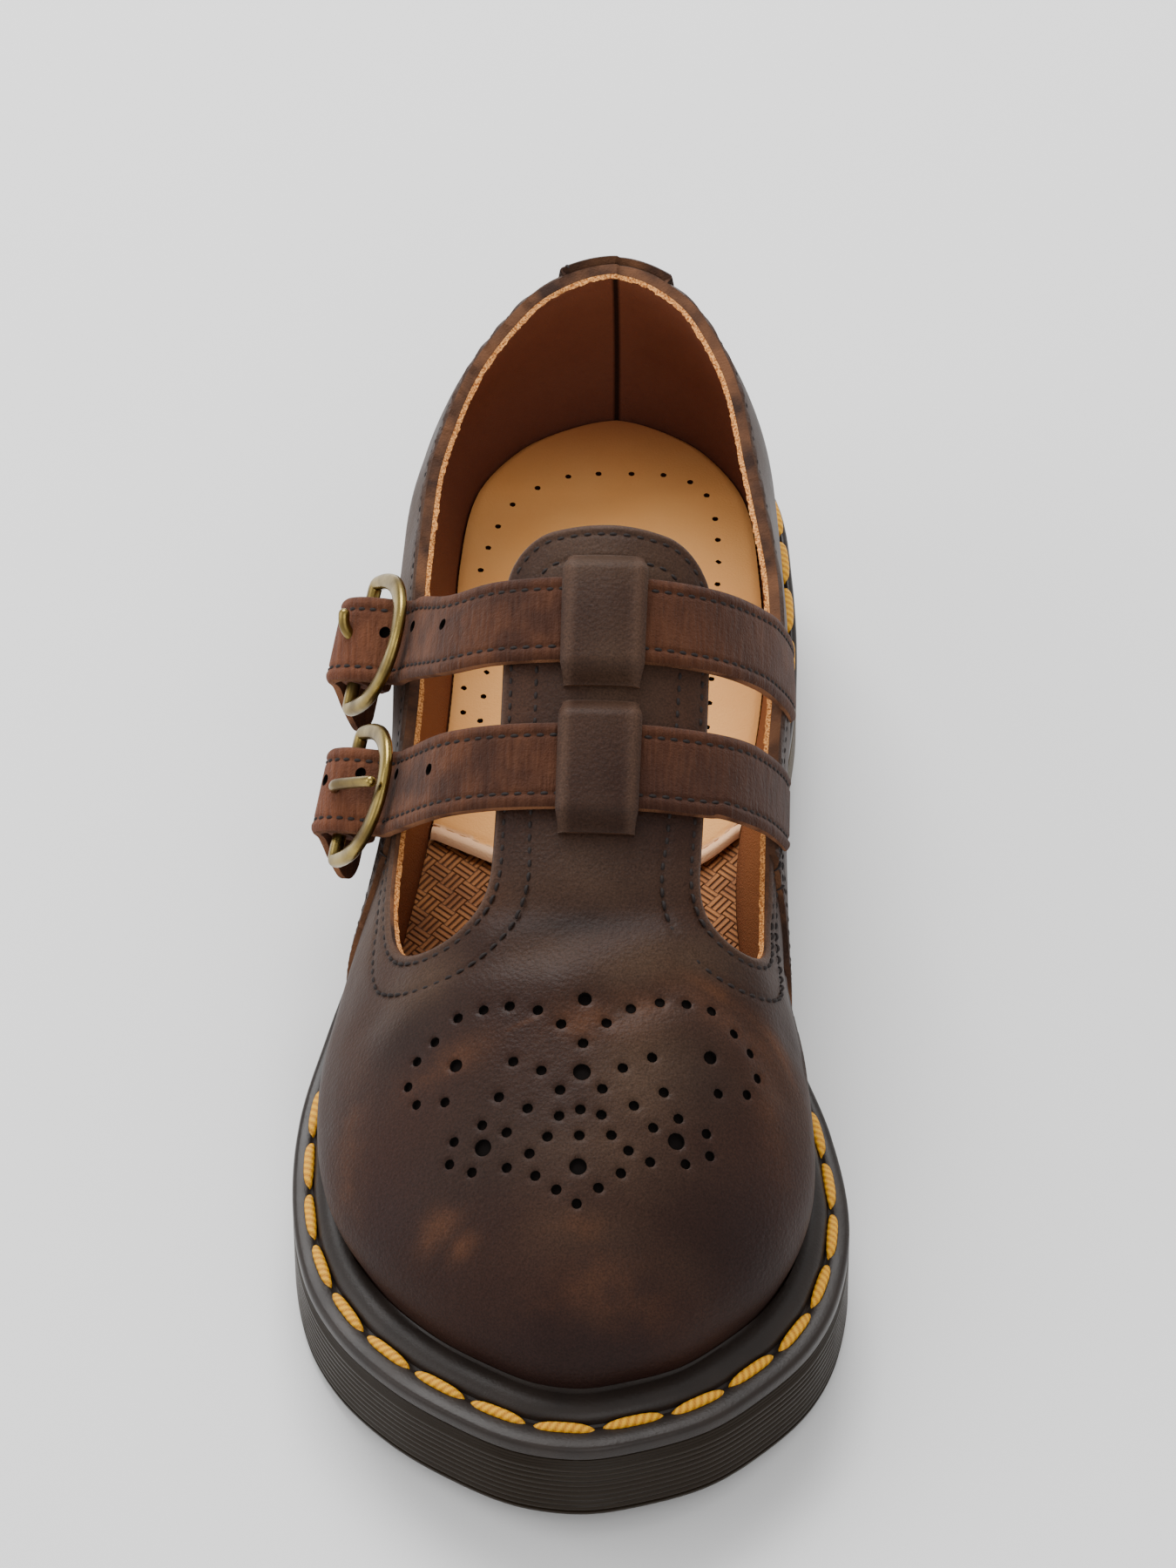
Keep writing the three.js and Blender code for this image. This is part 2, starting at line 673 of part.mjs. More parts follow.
// The last's surface as one open mesh, with shared points at the ridge, the heel and the toe
function lastSheet(stationCount, levelCount) {
  const stations = steps(0, 1, stationCount);
  const rowLevels = [-1, ...steps(0, 1, levelCount)];
  const points = [];
  const seen = new Map();
  const id = (side, i, j) => {
    const shared = i === 0 || i === stationCount || j === rowLevels.length - 1;
    const key = `${shared ? 'both' : side},${i},${j}`;
    if (!seen.has(key)) {
      seen.set(key, points.length);
      points.push(lastPoint(side, stations[i], rowLevels[j]));
    }
    return seen.get(key);
  };
  const faces = [];
  for (const side of sides) {
    for (let i = 0; i < stationCount; i++) {
      for (let j = 0; j < rowLevels.length - 1; j++) {
        const [a, b, c, d] = [id(side, i, j), id(side, i + 1, j), id(side, i + 1, j + 1), id(side, i, j + 1)];
        const even = points[a].distanceTo(points[c]) <= points[b].distanceTo(points[d]);
        const two = even ? [[a, b, c], [a, c, d]] : [[a, b, d], [b, c, d]];
        for (const [p, q, r] of two) {
          if (p === q || q === r || r === p) continue;
          faces.push(side === 'outer' ? [p, q, r] : [p, r, q]);
        }
      }
    }
  }
  const normals = points.map(() => new THREE.Vector3());
  for (const [a, b, c] of faces) {
    const n = points[b].clone().sub(points[a]).cross(points[c].clone().sub(points[a]));
    [a, b, c].forEach((k) => normals[k].add(n));
  }
  normals.forEach((n) => n.normalize());
  return { points, normals, faces };
}

// Upper: the sheet cut open and given its wall, with the quarters one step prouder than the vamp
function upperShell() {
  const sheet = lastSheet(38, 11);
  sheet.faces = splitSheet(sheet, openAt).below;
  const { below: vamp, above: quarter } = splitSheet(sheet, quarterAt);
  const triangles = [];
  const at = (k, lift) => sheet.points[k].clone().addScaledVector(sheet.normals[k], lift);
  const edges = (faces) => new Set(faces.flatMap(([a, b, c]) => [`${a},${b}`, `${b},${c}`, `${c},${a}`]));
  const own = [edges(vamp), edges(quarter)];
  [vamp, quarter].forEach((faces, part) => {
    const lift = part * quarterStep;
    for (const [a, b, c] of faces) {
      triangles.push([at(a, lift), at(b, lift), at(c, lift)]);
      triangles.push([at(a, -upperWall), at(c, -upperWall), at(b, -upperWall)]);
    }
    for (const edge of own[part]) {
      const [a, b] = edge.split(',').map(Number);
      const back = `${b},${a}`;
      if (own[part].has(back)) continue;
      const met = own[1 - part].has(back);
      if (!met) quad(triangles, at(b, 0), at(a, 0), at(a, -upperWall), at(b, -upperWall));
      if (part === 1) quad(triangles, at(b, lift), at(a, lift), at(a, 0), at(b, 0));
    }
  });
  return solidGeometry(triangles);
}

// Point on the last where a strap's plane meets a level, a distance from the middle or a height
function bandPoint(side, level, plane, lift) {
  const u = solve((s) => lastPoint(side, s, level).dot(strapAxis) - plane, 0.02, 0.98);
  const p = lastPoint(side, u, level);
  return p.addScaledVector(lastNormal(side, u, Math.min(level, 0.995)), lift);
}

function bandPointAtX(x, plane, lift) {
  const side = x < 1 ? 'outer' : 'inner';
  const sign = side === 'outer' ? -1 : 1;
  const level = solve((v) => sign * (bandPoint(side, v, plane, 0).x - x), 0.35, 1);
  return bandPoint(side, level, plane, lift);
}

function bandPointAtHeight(side, height, plane, lift) {
  const level = solve((v) => bandPoint(side, v, plane, 0).z - height, 0.02, 0.95);
  return bandPoint(side, level, plane, lift);
}

// Loops cut from the T-bar that hold each strap down in the middle: their ends run down a ramp
// and sink into the T-bar
const loopMiddle = 2.4;
const loopRamp = 3;
const loopSink = 0.8;

function loopGeometry({ plane }) {
  const reach = strapWidth / 2 + loopMargin + loopRamp;
  const rows = 10;
  const columns = 4;
  const peak = strapLift + strapThickness + 0.5;
  const place = (i, j, face) => {
    const across = -reach + (2 * reach * i) / rows;
    const x = loopMiddle - loopWidth / 2 + (loopWidth * j) / columns;
    const share = THREE.MathUtils.clamp((reach - Math.abs(across)) / loopRamp, 0, 1);
    const lift = -loopSink + (peak + loopSink) * share;
    return bandPointAtX(x, plane - across, lift + face * loopThickness);
  };
  return solidGeometry(slabTriangles(rows, columns, place));
}

function upperGeometry() {
  let upper = toManifold(upperShell());
  for (const strap of Object.values(straps)) upper = upper.add(toManifold(loopGeometry(strap)));
  return fromManifold(upper);
}

// Each strap begins on the outside of the inner quarter, at heights that are shares of the
// collar's, and passes over the collar's edge. Its leather is pared thin where it is sewn down.
const strapRoot = [0.66, 0.74, 0.84, 0.95];
const strapRootLift = quarterStep + fit;
const paredShare = 0.5;
const paredUntil = 0.2;

// Its way over the foot: places across it, with the strap's height over the vamp
const strapLift = 0.6;
const strapWay = [
  { x: 22.6, lift: strapLift + 0.1 },
  { x: 12, lift: strapLift },
  { x: 2, lift: strapLift },
  { x: -8, lift: strapLift },
  { x: -18, lift: strapLift },
  { x: -26, lift: strapLift + 0.3 },
];

// The strap's free end in the buckle: b runs from the bar to the bow, c stands out from the foot.
// It passes under the bow, up through the frame and over the bar.
const strapEnd = [
  { b: 19.5, c: -4.4 },
  { b: 13.2, c: -4.4 },
  { b: 7.8, c: 0.3 },
  { b: 4.2, c: 2.9 },
  { b: -0.4, c: 3.6 },
  { b: -3.8, c: 1.2 },
];

// The bar leans outwards towards the toe
const barLean = THREE.MathUtils.degToRad(10);
const barAxis = new THREE.Vector3(
  Math.sin(barLean),
  Math.cos(barLean) * Math.cos(strapSlope),
  Math.cos(barLean) * Math.sin(strapSlope),
);

function strapCurve(strap, across) {
  const plane = strap.plane + across;
  const points = strapRoot.map((share) => bandPointAtHeight('inner', share * collarHeight, plane, strapRootLift));
  for (const { x, lift } of strapWay) points.push(bandPointAtX(x, plane, lift));
  const axes = buckleAxes(strap);
  for (const { b, c } of strapEnd) points.push(inBuckle(axes, across, b, c));
  const fold = points[points.length - 1];
  points.push(fold.clone().add(new THREE.Vector3(1.5, -0.8, -strap.tail * 0.35)));
  points.push(fold.clone().add(new THREE.Vector3(5, -2, -strap.tail)));
  return new THREE.CatmullRomCurve3(points, false, 'centripetal');
}

// A leather band along curves that run side by side, with its thickness as a function of the way
function bandTriangles(curves, rows, thickness) {
  const grids = curves.map((curve) => steps(0, 1, rows).map((t) => curve.getPoint(t)));
  const columns = curves.length - 1;
  return slabTriangles(rows, columns, (i, j, face) => {
    const p = grids[j][i];
    const ahead = grids[j][Math.min(i + 1, rows)].clone().sub(grids[j][Math.max(i - 1, 0)]);
    const aside = grids[Math.min(j + 1, columns)][i].clone().sub(grids[Math.max(j - 1, 0)][i]);
    const normal = ahead.cross(aside).normalize();
    return p.clone().addScaledVector(normal, face * thickness(i / rows));
  });
}

function strapThicknessAt(share) {
  return strapThickness * THREE.MathUtils.lerp(paredShare, 1, Math.min(share / paredUntil, 1));
}

function strapGeometry(strap) {
  const half = strapWidth / 2;
  const curves = [half, 0, -half].map((across) => strapCurve(strap, across));
  const band = solidGeometry(bandTriangles(curves, 46, strapThicknessAt));
  const hole = prongGeometry(strap, fit);
  return fromManifold(toManifold(band).subtract(toManifold(hole)));
}

// Buckle: frame, prong and stay in the bar's own axes
const frameTilt = THREE.MathUtils.degToRad(64);

function barMiddle({ plane, barHeight, barShift, standOff }) {
  const onQuarter = bandPointAtHeight('outer', barHeight * collarHeight, plane + barShift, 0);
  return onQuarter.add(new THREE.Vector3(-standOff, 0, 0));
}

function buckleAxes(strap) {
  const along = barAxis;
  const lean = new THREE.Vector3(Math.cos(frameTilt), 0, Math.sin(frameTilt));
  const inward = lean.addScaledVector(along, -lean.dot(along)).normalize();
  const normal = new THREE.Vector3().crossVectors(along, inward).normalize();
  if (normal.z < 0) normal.negate();
  return { origin: barMiddle(strap), along, inward, normal };
}

function inBuckle({ origin, along, inward, normal }, a, b, c) {
  return origin.clone().addScaledVector(along, a).addScaledVector(inward, b).addScaledVector(normal, c);
}

// A rod along points, with a radius at each, closed into a ring or with flat ends
function rodGeometry(points, radii, normal, closed, faces = 6) {
  const count = points.length;
  const rings = points.map((p, i) => {
    const before = points[closed ? (i + count - 1) % count : Math.max(i - 1, 0)];
    const after = points[closed ? (i + 1) % count : Math.min(i + 1, count - 1)];
    const tangent = after.clone().sub(before).normalize();
    const side = new THREE.Vector3().crossVectors(tangent, normal).normalize();
    const top = new THREE.Vector3().crossVectors(side, tangent).normalize();
    return steps(0, faces, faces).slice(0, faces).map((k) => {
      const angle = (2 * Math.PI * k) / faces;
      return p.clone().addScaledVector(side, Math.cos(angle) * radii[i])
        .addScaledVector(top, Math.sin(angle) * radii[i]);
    });
  });
  const triangles = [];
  const spans = closed ? count : count - 1;
  for (let i = 0; i < spans; i++) {
    const a = rings[i];
    const b = rings[(i + 1) % count];
    for (let k = 0; k < faces; k++) {
      const next = (k + 1) % faces;
      quad(triangles, a[k], a[next], b[next], b[k]);
    }
  }
  if (!closed) {
    for (let k = 1; k < faces - 1; k++) {
      triangles.push([rings[0][0], rings[0][k + 1], rings[0][k]]);
      triangles.push([rings[count - 1][0], rings[count - 1][k], rings[count - 1][k + 1]]);
    }
  }
  return solidGeometry(triangles);
}

const bowFullness = 0.7;

function frameGeometry(strap) {
  const axes = buckleAxes(strap);
  const half = frameWidth / 2;
  const bowSteps = 16;
  const bow = steps(0, Math.PI, bowSteps).map((angle) => ({
    a: half * Math.cos(angle),
    b: frameDepth * Math.sin(angle) ** bowFullness,
    r: frameBarRadius + (frameBowRadius - frameBarRadius) * Math.sin(angle),
  }));
  const bar = [-0.6, -0.2, 0.2, 0.6].map((share) => ({ a: half * share, b: 0, r: frameBarRadius }));
  const ring = [...bow, ...bar];
  return rodGeometry(
    ring.map(({ a, b }) => inBuckle(axes, a, b, 0)),
    ring.map(({ r }) => r),
    axes.normal,
    true,
  );
}

function prongGeometry(strap, clearance) {
  const axes = buckleAxes(strap);
  const way = strap.prongWay.map(({ a, b, c }) => inBuckle(axes, a, b, c));
  const points = new THREE.CatmullRomCurve3(way).getPoints(12);
  const first = points[0].distanceTo(points[1]);
  points[0].lerpVectors(points[1], points[0].clone(), 1 + clearance / first);
  return rodGeometry(points, points.map(() => prongRadius + clearance), axes.along, false);
}

// Stay: a tab of leather folded round the bar, whose two layers run down to the quarter
function stayGeometry(strap) {
  const axes = buckleAxes(strap);
  const inner = frameBarRadius + fit;
  const outer = inner + stayThickness;
  const reach = (strap.standOff - quarterStep - fit) * Math.sin(frameTilt);
  const profile = [];
  for (const angle of steps(-0.25 * Math.PI, 1.25 * Math.PI, 10)) {
    profile.push([Math.cos(angle) * outer, Math.sin(angle) * outer]);
  }
  const shape = new THREE.Shape([
    ...profile.map(([b, c]) => new THREE.Vector2(b, c)),
    new THREE.Vector2(-stayThickness, -reach), new THREE.Vector2(stayThickness, -reach),
  ]);
  const hole = new THREE.Path();
  hole.absarc(0, 0, inner, 0, 2 * Math.PI, true);
  shape.holes.push(hole);
  const geometry = new THREE.ExtrudeGeometry(shape, {
    depth: stayWidth, bevelEnabled: false, curveSegments: 6,
  });
  geometry.translate(0, 0, -stayWidth / 2);
  const right = axes.inward;
  const top = new THREE.Vector3().crossVectors(axes.along, right).normalize();
  const matrix = new THREE.Matrix4().makeBasis(right, top, new THREE.Vector3().crossVectors(right, top));
  if (top.z < 0) matrix.multiply(new THREE.Matrix4().makeRotationX(Math.PI));
  geometry.applyMatrix4(matrix);
  geometry.translate(axes.origin.x, axes.origin.y, axes.origin.z);
  geometry.deleteAttribute('normal');
  geometry.deleteAttribute('uv');
  const slot = toManifold(prongGeometry(strap, fit));
  return fromManifold(toManifold(mergeVertices(geometry, 1e-3)).subtract(slot));
}

// Backstay: the strip over the heel seam, from the collar down to the welt
const backstayFoot = 0.02;

function backstayGeometry() {
  const rows = 10;
  const columns = 6;
  const reach = backstayWidth / 2 / outlines.outer.total;
  const place = (i, j, face) => {
    const share = 1 - (2 * j) / columns;
    const side = share < 0 ? 'inner' : 'outer';
    const u = Math.abs(share) * reach;
    const top = solve((v) => openAt(lastPoint(side, u, v)), 0.2, 0.9);
    const level = backstayFoot + (top - backstayFoot) * (i / rows);
    const normal = lastNormal(side, Math.max(u, 0.001), level);
    const lift = quarterStep + 1.5 * fit + face * backstayThickness;
    return lastPoint(side, u, level).addScaledVector(normal, lift);
  };
  return solidGeometry(slabTriangles(rows, columns, place));
}

// Colours of the pieces
const leather = { color: 0x3b2a22, roughness: 0.6, metalness: 0 };
const finishes = {
  sole: { color: 0x2a1f14, roughness: 0.5, metalness: 0 },
  welt: { color: 0x241a15, roughness: 0.45, metalness: 0 },
  leather,
  strap: { color: 0x4a3024, roughness: 0.75, metalness: 0 },
  board: { color: 0x7a4a1e, roughness: 0.8, metalness: 0 },
  sock: { color: 0xc9803f, roughness: 0.7, metalness: 0 },
  brass: { color: 0x8f7a34, roughness: 0.35, metalness: 1 },
};

const shoe = new THREE.Group();

function addPiece(name, geometry, finish) {
  const mesh = new THREE.Mesh(geometry, new THREE.MeshStandardMaterial(finishes[finish]));
  mesh.name = name;
  shoe.add(mesh);
}

addPiece('outsole', treadedSole(), 'sole');
addPiece('welt', weltGeometry(), 'welt');
addPiece('upper', upperGeometry(), 'leather');
addPiece('backstay', backstayGeometry(), 'leather');
addPiece('insole_board', boardGeometry(), 'board');
addPiece('sock', sockGeometry(), 'sock');

for (const [name, strap] of Object.entries(straps)) {
  addPiece(`strap_${name}`, strapGeometry(strap), 'strap');
  addPiece(`buckle_frame_${name}`, frameGeometry(strap), 'brass');
  addPiece(`buckle_prong_${name}`, prongGeometry(strap, 0), 'brass');
  addPiece(`buckle_stay_${name}`, stayGeometry(strap), 'strap');
}

export default shoe;
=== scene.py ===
# A mary jane shoe for the right foot, dressed for its picture: waxed brown leather on a punched
# T-bar vamp, two nappy straps in brass buckles, a yellow-stitched welt and a ribbed amber sole.
# Lengths are worked in millimetres in the part's own frame and made metres as each mesh is made.
import math
import bmesh
import bpy
import numpy as np
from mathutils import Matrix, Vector
from mathutils.kdtree import KDTree


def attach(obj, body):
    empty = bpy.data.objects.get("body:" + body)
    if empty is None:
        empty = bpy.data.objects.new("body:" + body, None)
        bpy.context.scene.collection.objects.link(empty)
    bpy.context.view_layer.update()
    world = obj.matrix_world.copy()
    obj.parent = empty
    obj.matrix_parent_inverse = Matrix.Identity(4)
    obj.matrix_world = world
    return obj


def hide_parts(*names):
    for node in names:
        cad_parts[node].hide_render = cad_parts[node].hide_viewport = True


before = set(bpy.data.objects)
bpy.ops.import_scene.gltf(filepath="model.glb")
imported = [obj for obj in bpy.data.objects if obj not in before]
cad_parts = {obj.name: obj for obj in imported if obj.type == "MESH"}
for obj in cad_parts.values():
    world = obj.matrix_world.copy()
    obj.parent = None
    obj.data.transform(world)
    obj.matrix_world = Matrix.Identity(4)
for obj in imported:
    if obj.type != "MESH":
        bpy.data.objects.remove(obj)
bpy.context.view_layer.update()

mm = 0.001


# Studio: a pale floor, a large soft light over the heel, softer ones at both sides, and the
# camera high in front of the toe, at the distance and angle that the photograph was taken from.
lens_length = 211.66
camera_place = Vector((49.53, -1281.69, 1343.18)) * mm
camera_aim = Vector((-1.96, -70.29, 30.0)) * mm
camera_roll = math.radians(-0.312)

camera_data = bpy.data.cameras.new("camera")
camera_data.lens = lens_length
camera_data.sensor_width = 36
camera_data.clip_end = 20
camera = bpy.data.objects.new("camera", camera_data)
bpy.context.collection.objects.link(camera)
camera.location = camera_place
camera.rotation_euler = (camera_aim - camera_place).to_track_quat("-Z", "Y").to_euler()
camera.rotation_euler.rotate_axis("Z", camera_roll)
bpy.context.scene.camera = camera

bpy.ops.mesh.primitive_plane_add(size=8, location=(0, 0, 0))
floor = bpy.context.object
floor.name = "floor"
floor_paint = bpy.data.materials.new("floor_paint")
floor_paint.use_nodes = True
floor_shader = floor_paint.node_tree.nodes["Principled BSDF"]
floor_shader.inputs["Base Color"].default_value = (0.86, 0.86, 0.86, 1)
floor_shader.inputs["Roughness"].default_value = 0.7
floor.data.materials.append(floor_paint)

room = bpy.data.worlds.new("room")
room.use_nodes = True
room.node_tree.nodes["Background"].inputs["Color"].default_value = (1, 1, 1, 1)
room.node_tree.nodes["Background"].inputs["Strength"].default_value = 0.8
bpy.context.scene.world = room

softbox_aim = Vector((0, -0.1, 0.04))
softboxes = {
    "back": {"place": (-0.25, 0.85, 1.2), "size": 1.0, "watts": 30},
    "front": {"place": (0.25, -1.15, 1.0), "size": 0.9, "watts": 5},
    "left": {"place": (-1.1, -0.15, 0.55), "size": 0.9, "watts": 5.5},
}
for name, light in softboxes.items():
    lamp_data = bpy.data.lights.new(f"softbox_{name}", "AREA")
    lamp_data.size = light["size"]
    lamp_data.energy = light["watts"]
    lamp = bpy.data.objects.new(f"softbox_{name}", lamp_data)
    bpy.context.collection.objects.link(lamp)
    lamp.location = light["place"]
    lamp.rotation_euler = (softbox_aim - lamp.location).to_track_quat("-Z", "Y").to_euler()


# Outsole: one moulding of translucent brown rubber, glossy, with fine ribs round its side, a heel
# with an upright breast, a hollow arch, a sprung toe and cross grooves underneath.
sole_length = 268
heel_back = 36
ball_half_width = 52
plan = {
    "along": [0.011, 0.041, 0.097, 0.179, 0.284, 0.381, 0.463, 0.537, 0.612, 0.690, 0.769, 0.840,
              0.892, 0.937, 0.970, 0.993],
    "outer": [0.231, 0.462, 0.644, 0.702, 0.702, 0.731, 0.788, 0.860, 0.952, 1.031, 1.031, 0.962,
              0.831, 0.629, 0.404, 0.183],
    "inner": [0.221, 0.442, 0.625, 0.698, 0.727, 0.688, 0.646, 0.677, 0.760, 0.904, 0.977, 0.948,
              0.852, 0.677, 0.488, 0.221],
}
toe_tip_share = 0.038
fit = 0.3
welt_thickness = 3
ball_height = 19.5
toe_lift = 6.5
heel_lift = 9.5
toe_spring = 6
arch_height = 11


def smooth(xs, ys, x):
    """Value at x of a smooth curve through (xs, ys); ys may hold a row of values for each x."""
    xs = np.asarray(xs, float)
    last = len(xs) - 1
    x = np.clip(np.asarray(x, float), xs[0], xs[-1])
    ys = np.broadcast_to(np.asarray(ys, float), x.shape + (len(xs),))
    before = np.maximum(np.arange(last + 1) - 1, 0)
    after = np.minimum(np.arange(last + 1) + 1, last)
    slopes = (ys[..., after] - ys[..., before]) / (xs[after] - xs[before])
    i = np.clip(np.searchsorted(xs[1:], x), 0, last - 1)
    at = lambda rows, k: np.take_along_axis(rows, k[..., None], -1)[..., 0]
    h = xs[i + 1] - xs[i]
    t = (x - xs[i]) / h
    return ((2 * t**3 - 3 * t**2 + 1) * at(ys, i) + (t**3 - 2 * t**2 + t) * h * at(slopes, i)
            + (3 * t**2 - 2 * t**3) * at(ys, i + 1) + (t**3 - t**2) * h * at(slopes, i + 1))


def unit(vectors):
    """The same vectors, each made one long."""
    return vectors / np.maximum(np.linalg.norm(vectors, axis=-1, keepdims=True), 1e-9)


def run_of(points):
    """How far along a line each of its points lies."""
    return np.concatenate([[0], np.cumsum(np.linalg.norm(np.diff(points, axis=0), axis=1))])


def bell(x, middle, width):
    return np.exp(-((x - middle) / width) ** 2)


def rounding(x, width):
    """One at nought, falling to nought at a width."""
    return np.clip(1 - x / width, 0, 1) ** 2


def along_of(y):
    return (heel_back - y) / sole_length


def y_of(along):
    return heel_back - along * sole_length


def half_outline(side):
    """One side of the welt's plan as fine points from heel to toe, and how far round each lies."""
    sign = {"outer": -1, "inner": 1}
    other = "inner" if side == "outer" else "outer"
    place = lambda k, which: (sign[which] * plan[which][k] * ball_half_width, y_of(plan["along"][k]))
    points = [place(0, other), (0, y_of(0))]
    points += [place(k, side) for k in range(len(plan["along"]))]
    points += [(toe_tip_share * ball_half_width, y_of(1)), place(-1, other)]
    points = np.array(points)
    run = run_of(points)
    s = np.linspace(run[1], run[-2], 1201)
    fine = np.stack([smooth(run, points[:, 0], s), smooth(run, points[:, 1], s)], -1)
    fine_run = run_of(fine)
    return fine, fine_run / fine_run[-1]


half_outlines = {side: half_outline(side) for side in ("outer", "inner")}


def outline_at(w):
    """Point on the welt's edge at w: 0 at the heel, 1 at the toe by the outer side, then back to 2."""
    w = np.mod(w, 2)
    (outer, s), (inner, q) = half_outlines["outer"], half_outlines["inner"]
    xy = [np.where(w <= 1, np.interp(w, s, outer[:, k]), np.interp(2 - w, q, inner[:, k]))
          for k in (0, 1)]
    return np.stack(xy, -1)


small_step = 0.004


def inset_at(w, inset):
    """The edge's point moved inwards, square to the edge."""
    tangent = unit(outline_at(w + small_step) - outline_at(w - small_step))
    inwards = np.stack([-tangent[..., 1], tangent[..., 0]], -1)
    return outline_at(w) + inwards * np.asarray(inset)[..., None]


def welt_top(along):
    toward = np.clip((along - 0.694) / 0.306, 0, 1)
    behind = np.clip((0.694 - along) / 0.485, 0, 1)
    return ball_height + toe_lift * toward**1.8 + heel_lift * behind


def sole_top(along):
    return welt_top(along) - welt_thickness - fit


def sole_bottom(along):
    breast = np.clip((along - 0.235) / 0.015, 0, 1)
    hollow = np.maximum(smooth([0.265, 0.34, 0.42, 0.50, 0.555], [0.78, 1, 0.80, 0.28, 0], along), 0)
    hollow = np.where(along > 0.555, 0, hollow)
    spring = np.clip((along - 0.77) / 0.23, 0, 1)
    return breast * arch_height * hollow + toe_spring * spring**2


def make_piece(name, points, faces):
    """A mesh object from points in millimetres."""
    mesh = bpy.data.meshes.new(name)
    mesh.from_pydata((np.asarray(points) * mm).tolist(), [], [list(map(int, f)) for f in faces])
    mesh.validate()
    piece = bpy.data.objects.new(name, mesh)
    bpy.context.collection.objects.link(piece)
    return piece


def finish_smooth(piece, degrees):
    """Smooth shading with edges kept sharp past an angle."""
    bpy.ops.object.select_all(action="DESELECT")
    piece.select_set(True)
    bpy.context.view_layer.objects.active = piece
    bpy.ops.object.shade_smooth_by_angle(angle=math.radians(degrees))


def face_outwards(piece, join=0):
    """Turns a piece's faces outwards, after joining points that lie closer than some millimetres."""
    mesh_tool = bmesh.new()
    mesh_tool.from_mesh(piece.data)
    if join:
        bmesh.ops.remove_doubles(mesh_tool, verts=mesh_tool.verts, dist=join * mm)
    bmesh.ops.recalc_face_normals(mesh_tool, faces=mesh_tool.faces)
    mesh_tool.to_mesh(piece.data)
    mesh_tool.free()


def ring_faces(rows, columns, closed=False):
    """Quads between closed rings of points, ring after ring, and back to the first if closed."""
    i, j = np.meshgrid(np.arange(rows - 1 + closed), np.arange(columns), indexing="ij")
    row, next_row = i * columns, (i + 1) % rows * columns
    after = (j + 1) % columns
    return np.stack([row + j, row + after, next_row + after, next_row + j], -1).reshape(-1, 4)


def node_of(material, kind, **values):
    """A new shader node with its plain input values set by name."""
    node = material.node_tree.nodes.new(kind)
    for key, value in values.items():
        node.inputs[key.replace("_", " ")].default_value = value
    return node


def plain_material(name, color, roughness, **values):
    """A material with a Principled shader."""
    material = bpy.data.materials.new(name)
    material.use_nodes = True
    shader = material.node_tree.nodes["Principled BSDF"]
    shader.inputs["Base Color"].default_value = (*color, 1)
    shader.inputs["Roughness"].default_value = roughness
    for key, value in values.items():
        shader.inputs[key.replace("_", " ")].default_value = value
    return material


def plug(material, output, name):
    """Joins an output to an input of the material's Principled shader."""
    shader = material.node_tree.nodes["Principled BSDF"]
    material.node_tree.links.new(output, shader.inputs[name])


def place_of(material):
    """The place in the part's own frame, whole and as X, Y and Z."""
    place = node_of(material, "ShaderNodeTexCoord").outputs["Object"]
    split = node_of(material, "ShaderNodeSeparateXYZ")
    material.node_tree.links.new(place, split.inputs[0])
    return place, split.outputs


def mix_colors(material, factor, a, b, blend="MIX"):
    """The output of a colour mix; factor, a and b are plain values or other nodes' outputs."""
    node = material.node_tree.nodes.new("ShaderNodeMix")
    node.data_type = "RGBA"
    node.blend_type = blend
    for socket, value in ((node.inputs[0], factor), (node.inputs[6], a), (node.inputs[7], b)):
        if isinstance(value, bpy.types.NodeSocket):
            material.node_tree.links.new(value, socket)
        else:
            socket.default_value = (*value, 1) if isinstance(value, tuple) else value
    return node.outputs[2]


def math_of(material, operation, *values):
    """The output of a plain sum on values or other nodes' outputs, kept between nought and one."""
    node = material.node_tree.nodes.new("ShaderNodeMath")
    node.operation = operation
    node.use_clamp = True
    for socket, value in zip(node.inputs, values):
        if isinstance(value, bpy.types.NodeSocket):
            material.node_tree.links.new(value, socket)
        else:
            socket.default_value = value
    return node.outputs[0]


def band_of(material, value, low, high):
    """The output of a value stretched so that low gives nought and high gives one."""
    node = node_of(material, "ShaderNodeMapRange", From_Min=low, From_Max=high)
    material.node_tree.links.new(value, node.inputs["Value"])
    return node.outputs["Result"]


# The hide's pattern, used by every leather: slow mottling, a pebbled grain and fine specks.
hide = bpy.data.node_groups.new("hide_pattern", "ShaderNodeTree")
grain_socket = hide.interface.new_socket("Grain Scale", in_out="INPUT", socket_type="NodeSocketFloat")
grain_socket.default_value = 900
for key in ("Mottle", "Blotch", "Grain", "Speck"):
    hide.interface.new_socket(key, in_out="OUTPUT", socket_type="NodeSocketFloat")
hide_in, hide_out = hide.nodes.new("NodeGroupInput"), hide.nodes.new("NodeGroupOutput")
hide_place = hide.nodes.new("ShaderNodeTexCoord")
for key, scale, detail in (("Mottle", 34, 5), ("Blotch", 120, 4), ("Speck", 2600, 2)):
    noise = hide.nodes.new("ShaderNodeTexNoise")
    noise.inputs["Scale"].default_value = scale
    noise.inputs["Detail"].default_value = detail
    hide.links.new(hide_place.outputs["Object"], noise.inputs["Vector"])
    hide.links.new(noise.outputs["Fac"], hide_out.inputs[key])
pebbles = hide.nodes.new("ShaderNodeTexVoronoi")
pebbles.feature = "SMOOTH_F1"
hide.links.new(hide_place.outputs["Object"], pebbles.inputs["Vector"])
hide.links.new(hide_in.outputs["Grain Scale"], pebbles.inputs["Scale"])
hide.links.new(pebbles.outputs["Distance"], hide_out.inputs["Grain"])


